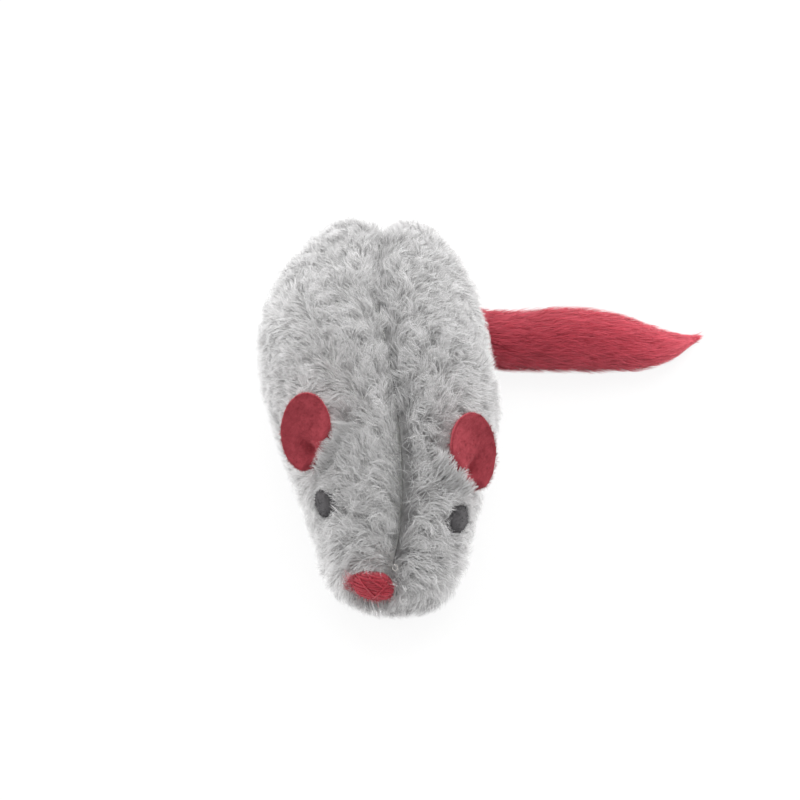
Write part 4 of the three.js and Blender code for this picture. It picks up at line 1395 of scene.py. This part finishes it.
def tail_strands(name, tail):
    """Fine strands lying along the tail in loose locks."""
    _, radii, travelled = tail
    total = travelled[-1]
    count, locks = TAIL_STRANDS, TAIL_LOCKS
    room = np.cumsum(radii + TAIL_CROWDING)
    distance = np.interp(draw.random(count), room / room[-1], travelled)
    angle = draw.uniform(0, 2 * math.pi, count)
    lock_distance = draw.uniform(0, total, locks)
    lock_angle = draw.uniform(0, 2 * math.pi, locks)
    near = np.array([
        np.argmin((lock_distance - d) ** 2 + (np.angle(np.exp(1j * (lock_angle - a))) * 5) ** 2)
        for d, a in zip(distance, angle)
    ])
    length = TAIL_PILE * draw.uniform(0.65, 1.15, count)
    ends = total + TIP_ENDS[0] + (TIP_ENDS[1] - TIP_ENDS[0]) * draw.random(count) ** 2.2
    length = np.minimum(length, np.maximum(ends - distance, 1.2))
    stray = np.abs(draw.normal(0, TIP_STRAY, count))
    proud = draw.uniform(-0.7, 0.8, count) + draw.uniform(-0.3, 0.5, locks)[near]
    swirl = draw.normal(0, 0.12, count) + draw.normal(0, 0.16, locks)[near]
    pull = np.angle(np.exp(1j * (lock_angle[near] - angle)))
    paths, normals = [], []
    for part in STRAND_SHARES:
        reached = distance + length * part
        middle, radius, side, top = along_tail(tail, reached)
        closing = np.exp(-np.maximum(reached - total, 0) / TIP_CLOSES)
        loose = stray * np.clip((reached - total) / TIP_LOOSE + 1, 0, 1.5) ** 2
        out = circling(angle + swirl * part + pull * 0.3 * part ** 1.3, side, top)
        height = (TAIL_SKIN + proud) * (1 - (1 - part) ** 1.8) - TAIL_SKIN
        height = np.where(height > 0, height * np.clip(radius / 4, 0.3, 1), height)
        paths.append(middle + out * (np.maximum(radius + height, 0.12) * closing + loose)[:, None])
        normals.append(out)
    paths, normals = np.stack(paths, 1), np.stack(normals, 1)
    paths[..., 2] = np.maximum(paths[..., 2], FLOOR_CLEAR)
    roll = draw.normal(0, 0.4, count)
    tones = 0.5 + draw.normal(0, 0.13, count) + draw.normal(0, 0.08, locks)[near]
    widths = TAIL_STRAND_WIDTH * draw.uniform(0.7, 1.2, count)
    return strands_piece(name, paths, normals, roll, widths, tones, RED_PILE)


# Room, lights and camera

def seen_by_camera(tree, other, seen, output):
    """Lets the camera see one shader where all other rays meet another."""
    rays = node(tree, "ShaderNodeLightPath")
    mixed = {0: rays.outputs["Is Camera Ray"], 1: other.outputs[0], 2: seen.outputs[0]}
    mix = node(tree, "ShaderNodeMixShader", mixed)
    set_inputs(tree, tree.nodes[output], {"Surface": mix.outputs[0]})


def aimed(name, data, place, target):
    """A lamp or camera at a place, turned to a target."""
    holder = linked(name, data)
    holder.location = place
    holder.rotation_mode = "QUATERNION"
    holder.rotation_quaternion = (target - place).to_track_quat("-Z", "Y")
    return holder


def floor():
    """A floor that the camera sees as white with a faint shadow near the mouse."""
    mesh = bpy.data.meshes.new("floor")
    corners = [(x * FLOOR_SIZE, y * FLOOR_SIZE, 0) for x, y in ((-1, -1), (1, -1), (1, 1), (-1, 1))]
    mesh.from_pydata(corners, [], [(0, 1, 2, 3)])
    material, tree, shader = new_material("White floor")
    matt = {"Roughness": 1.0, "Specular IOR Level": 0.0}
    set_inputs(tree, shader, {"Base Color": FLOOR_GREY, **matt})
    place = node(tree, "ShaderNodeTexCoord")
    away = node(tree, "ShaderNodeVectorMath", {0: place.outputs["Object"]}, operation="LENGTH")
    fade = {"From Min": FLOOR_NEAR, "From Max": FLOOR_FAR, "To Min": 1, "To Max": 0}
    near = node(
        tree, "ShaderNodeMapRange", {"Value": away.outputs["Value"], **fade}, interpolation_type="SMOOTHSTEP"
    )
    lit = math_node(tree, "MULTIPLY", near.outputs[0], FLOOR_SHADE)
    glow = {"Emission Color": WHITE, "Emission Strength": math_node(tree, "SUBTRACT", 1.0, lit)}
    seen = node(tree, "ShaderNodeBsdfPrincipled", {"Base Color": lit, **matt, **glow})
    seen_by_camera(tree, shader, seen, "Material Output")
    mesh.materials.append(material)
    linked("floor", mesh)


def lights():
    world = bpy.data.worlds.new("Studio")
    bpy.context.scene.world = world
    world.use_nodes = True
    tree = world.node_tree
    room = tree.nodes["Background"]
    set_inputs(tree, room, {"Color": WHITE, "Strength": ROOM_LIGHT})
    white = node(tree, "ShaderNodeBackground", {"Color": WHITE, "Strength": 1.0})
    seen_by_camera(tree, room, white, "World Output")
    for name, place, size, watts in LAMPS:
        lamp = bpy.data.lights.new(name, "AREA")
        lamp.shape = "DISK"
        lamp.size = size
        lamp.energy = watts
        aimed(name, lamp, Vector(place), Vector(LAMP_TARGET))


def camera():
    target = Vector(CAMERA_TARGET) * MM
    elevation = CAMERA_ELEVATION * DEGREE
    away = Vector((0, -math.cos(elevation), math.sin(elevation))) * (CAMERA_DISTANCE * MM)
    lens = bpy.data.cameras.new("Camera")
    lens.sensor_width = 36
    lens.lens = CAMERA_LENS
    lens.clip_start = 0.01
    lens.clip_end = 20
    bpy.context.scene.camera = aimed("Camera", lens, target + away, target)


camera()
floor()
lights()
backing_cloth()
body_pile()
whorl("pile_rear_end", 1 + CAP, -80, 0.5)
whorl("pile_front_end", -CAP, -60, 0.3)
for side in (1, -1):
    felt_ear(side)
    ear_fuzz(side)
    ear_fringe(side)
    felt_eye(side)
    ear_stitches(side)
closing_stitches()
stitched_nose()
back_seam()
fur_tail()
tail_collar()
for name, material in (
    ("belly_seam_thread", GREY_THREAD), ("stuffing", FILLING), ("catnip_pouch", SACHET), ("catnip", HERB),
):
    kept = frame["nodes"][name].data.materials
    kept.clear()
    kept.append(material)

bpy.context.scene.view_settings.view_transform = "Standard"
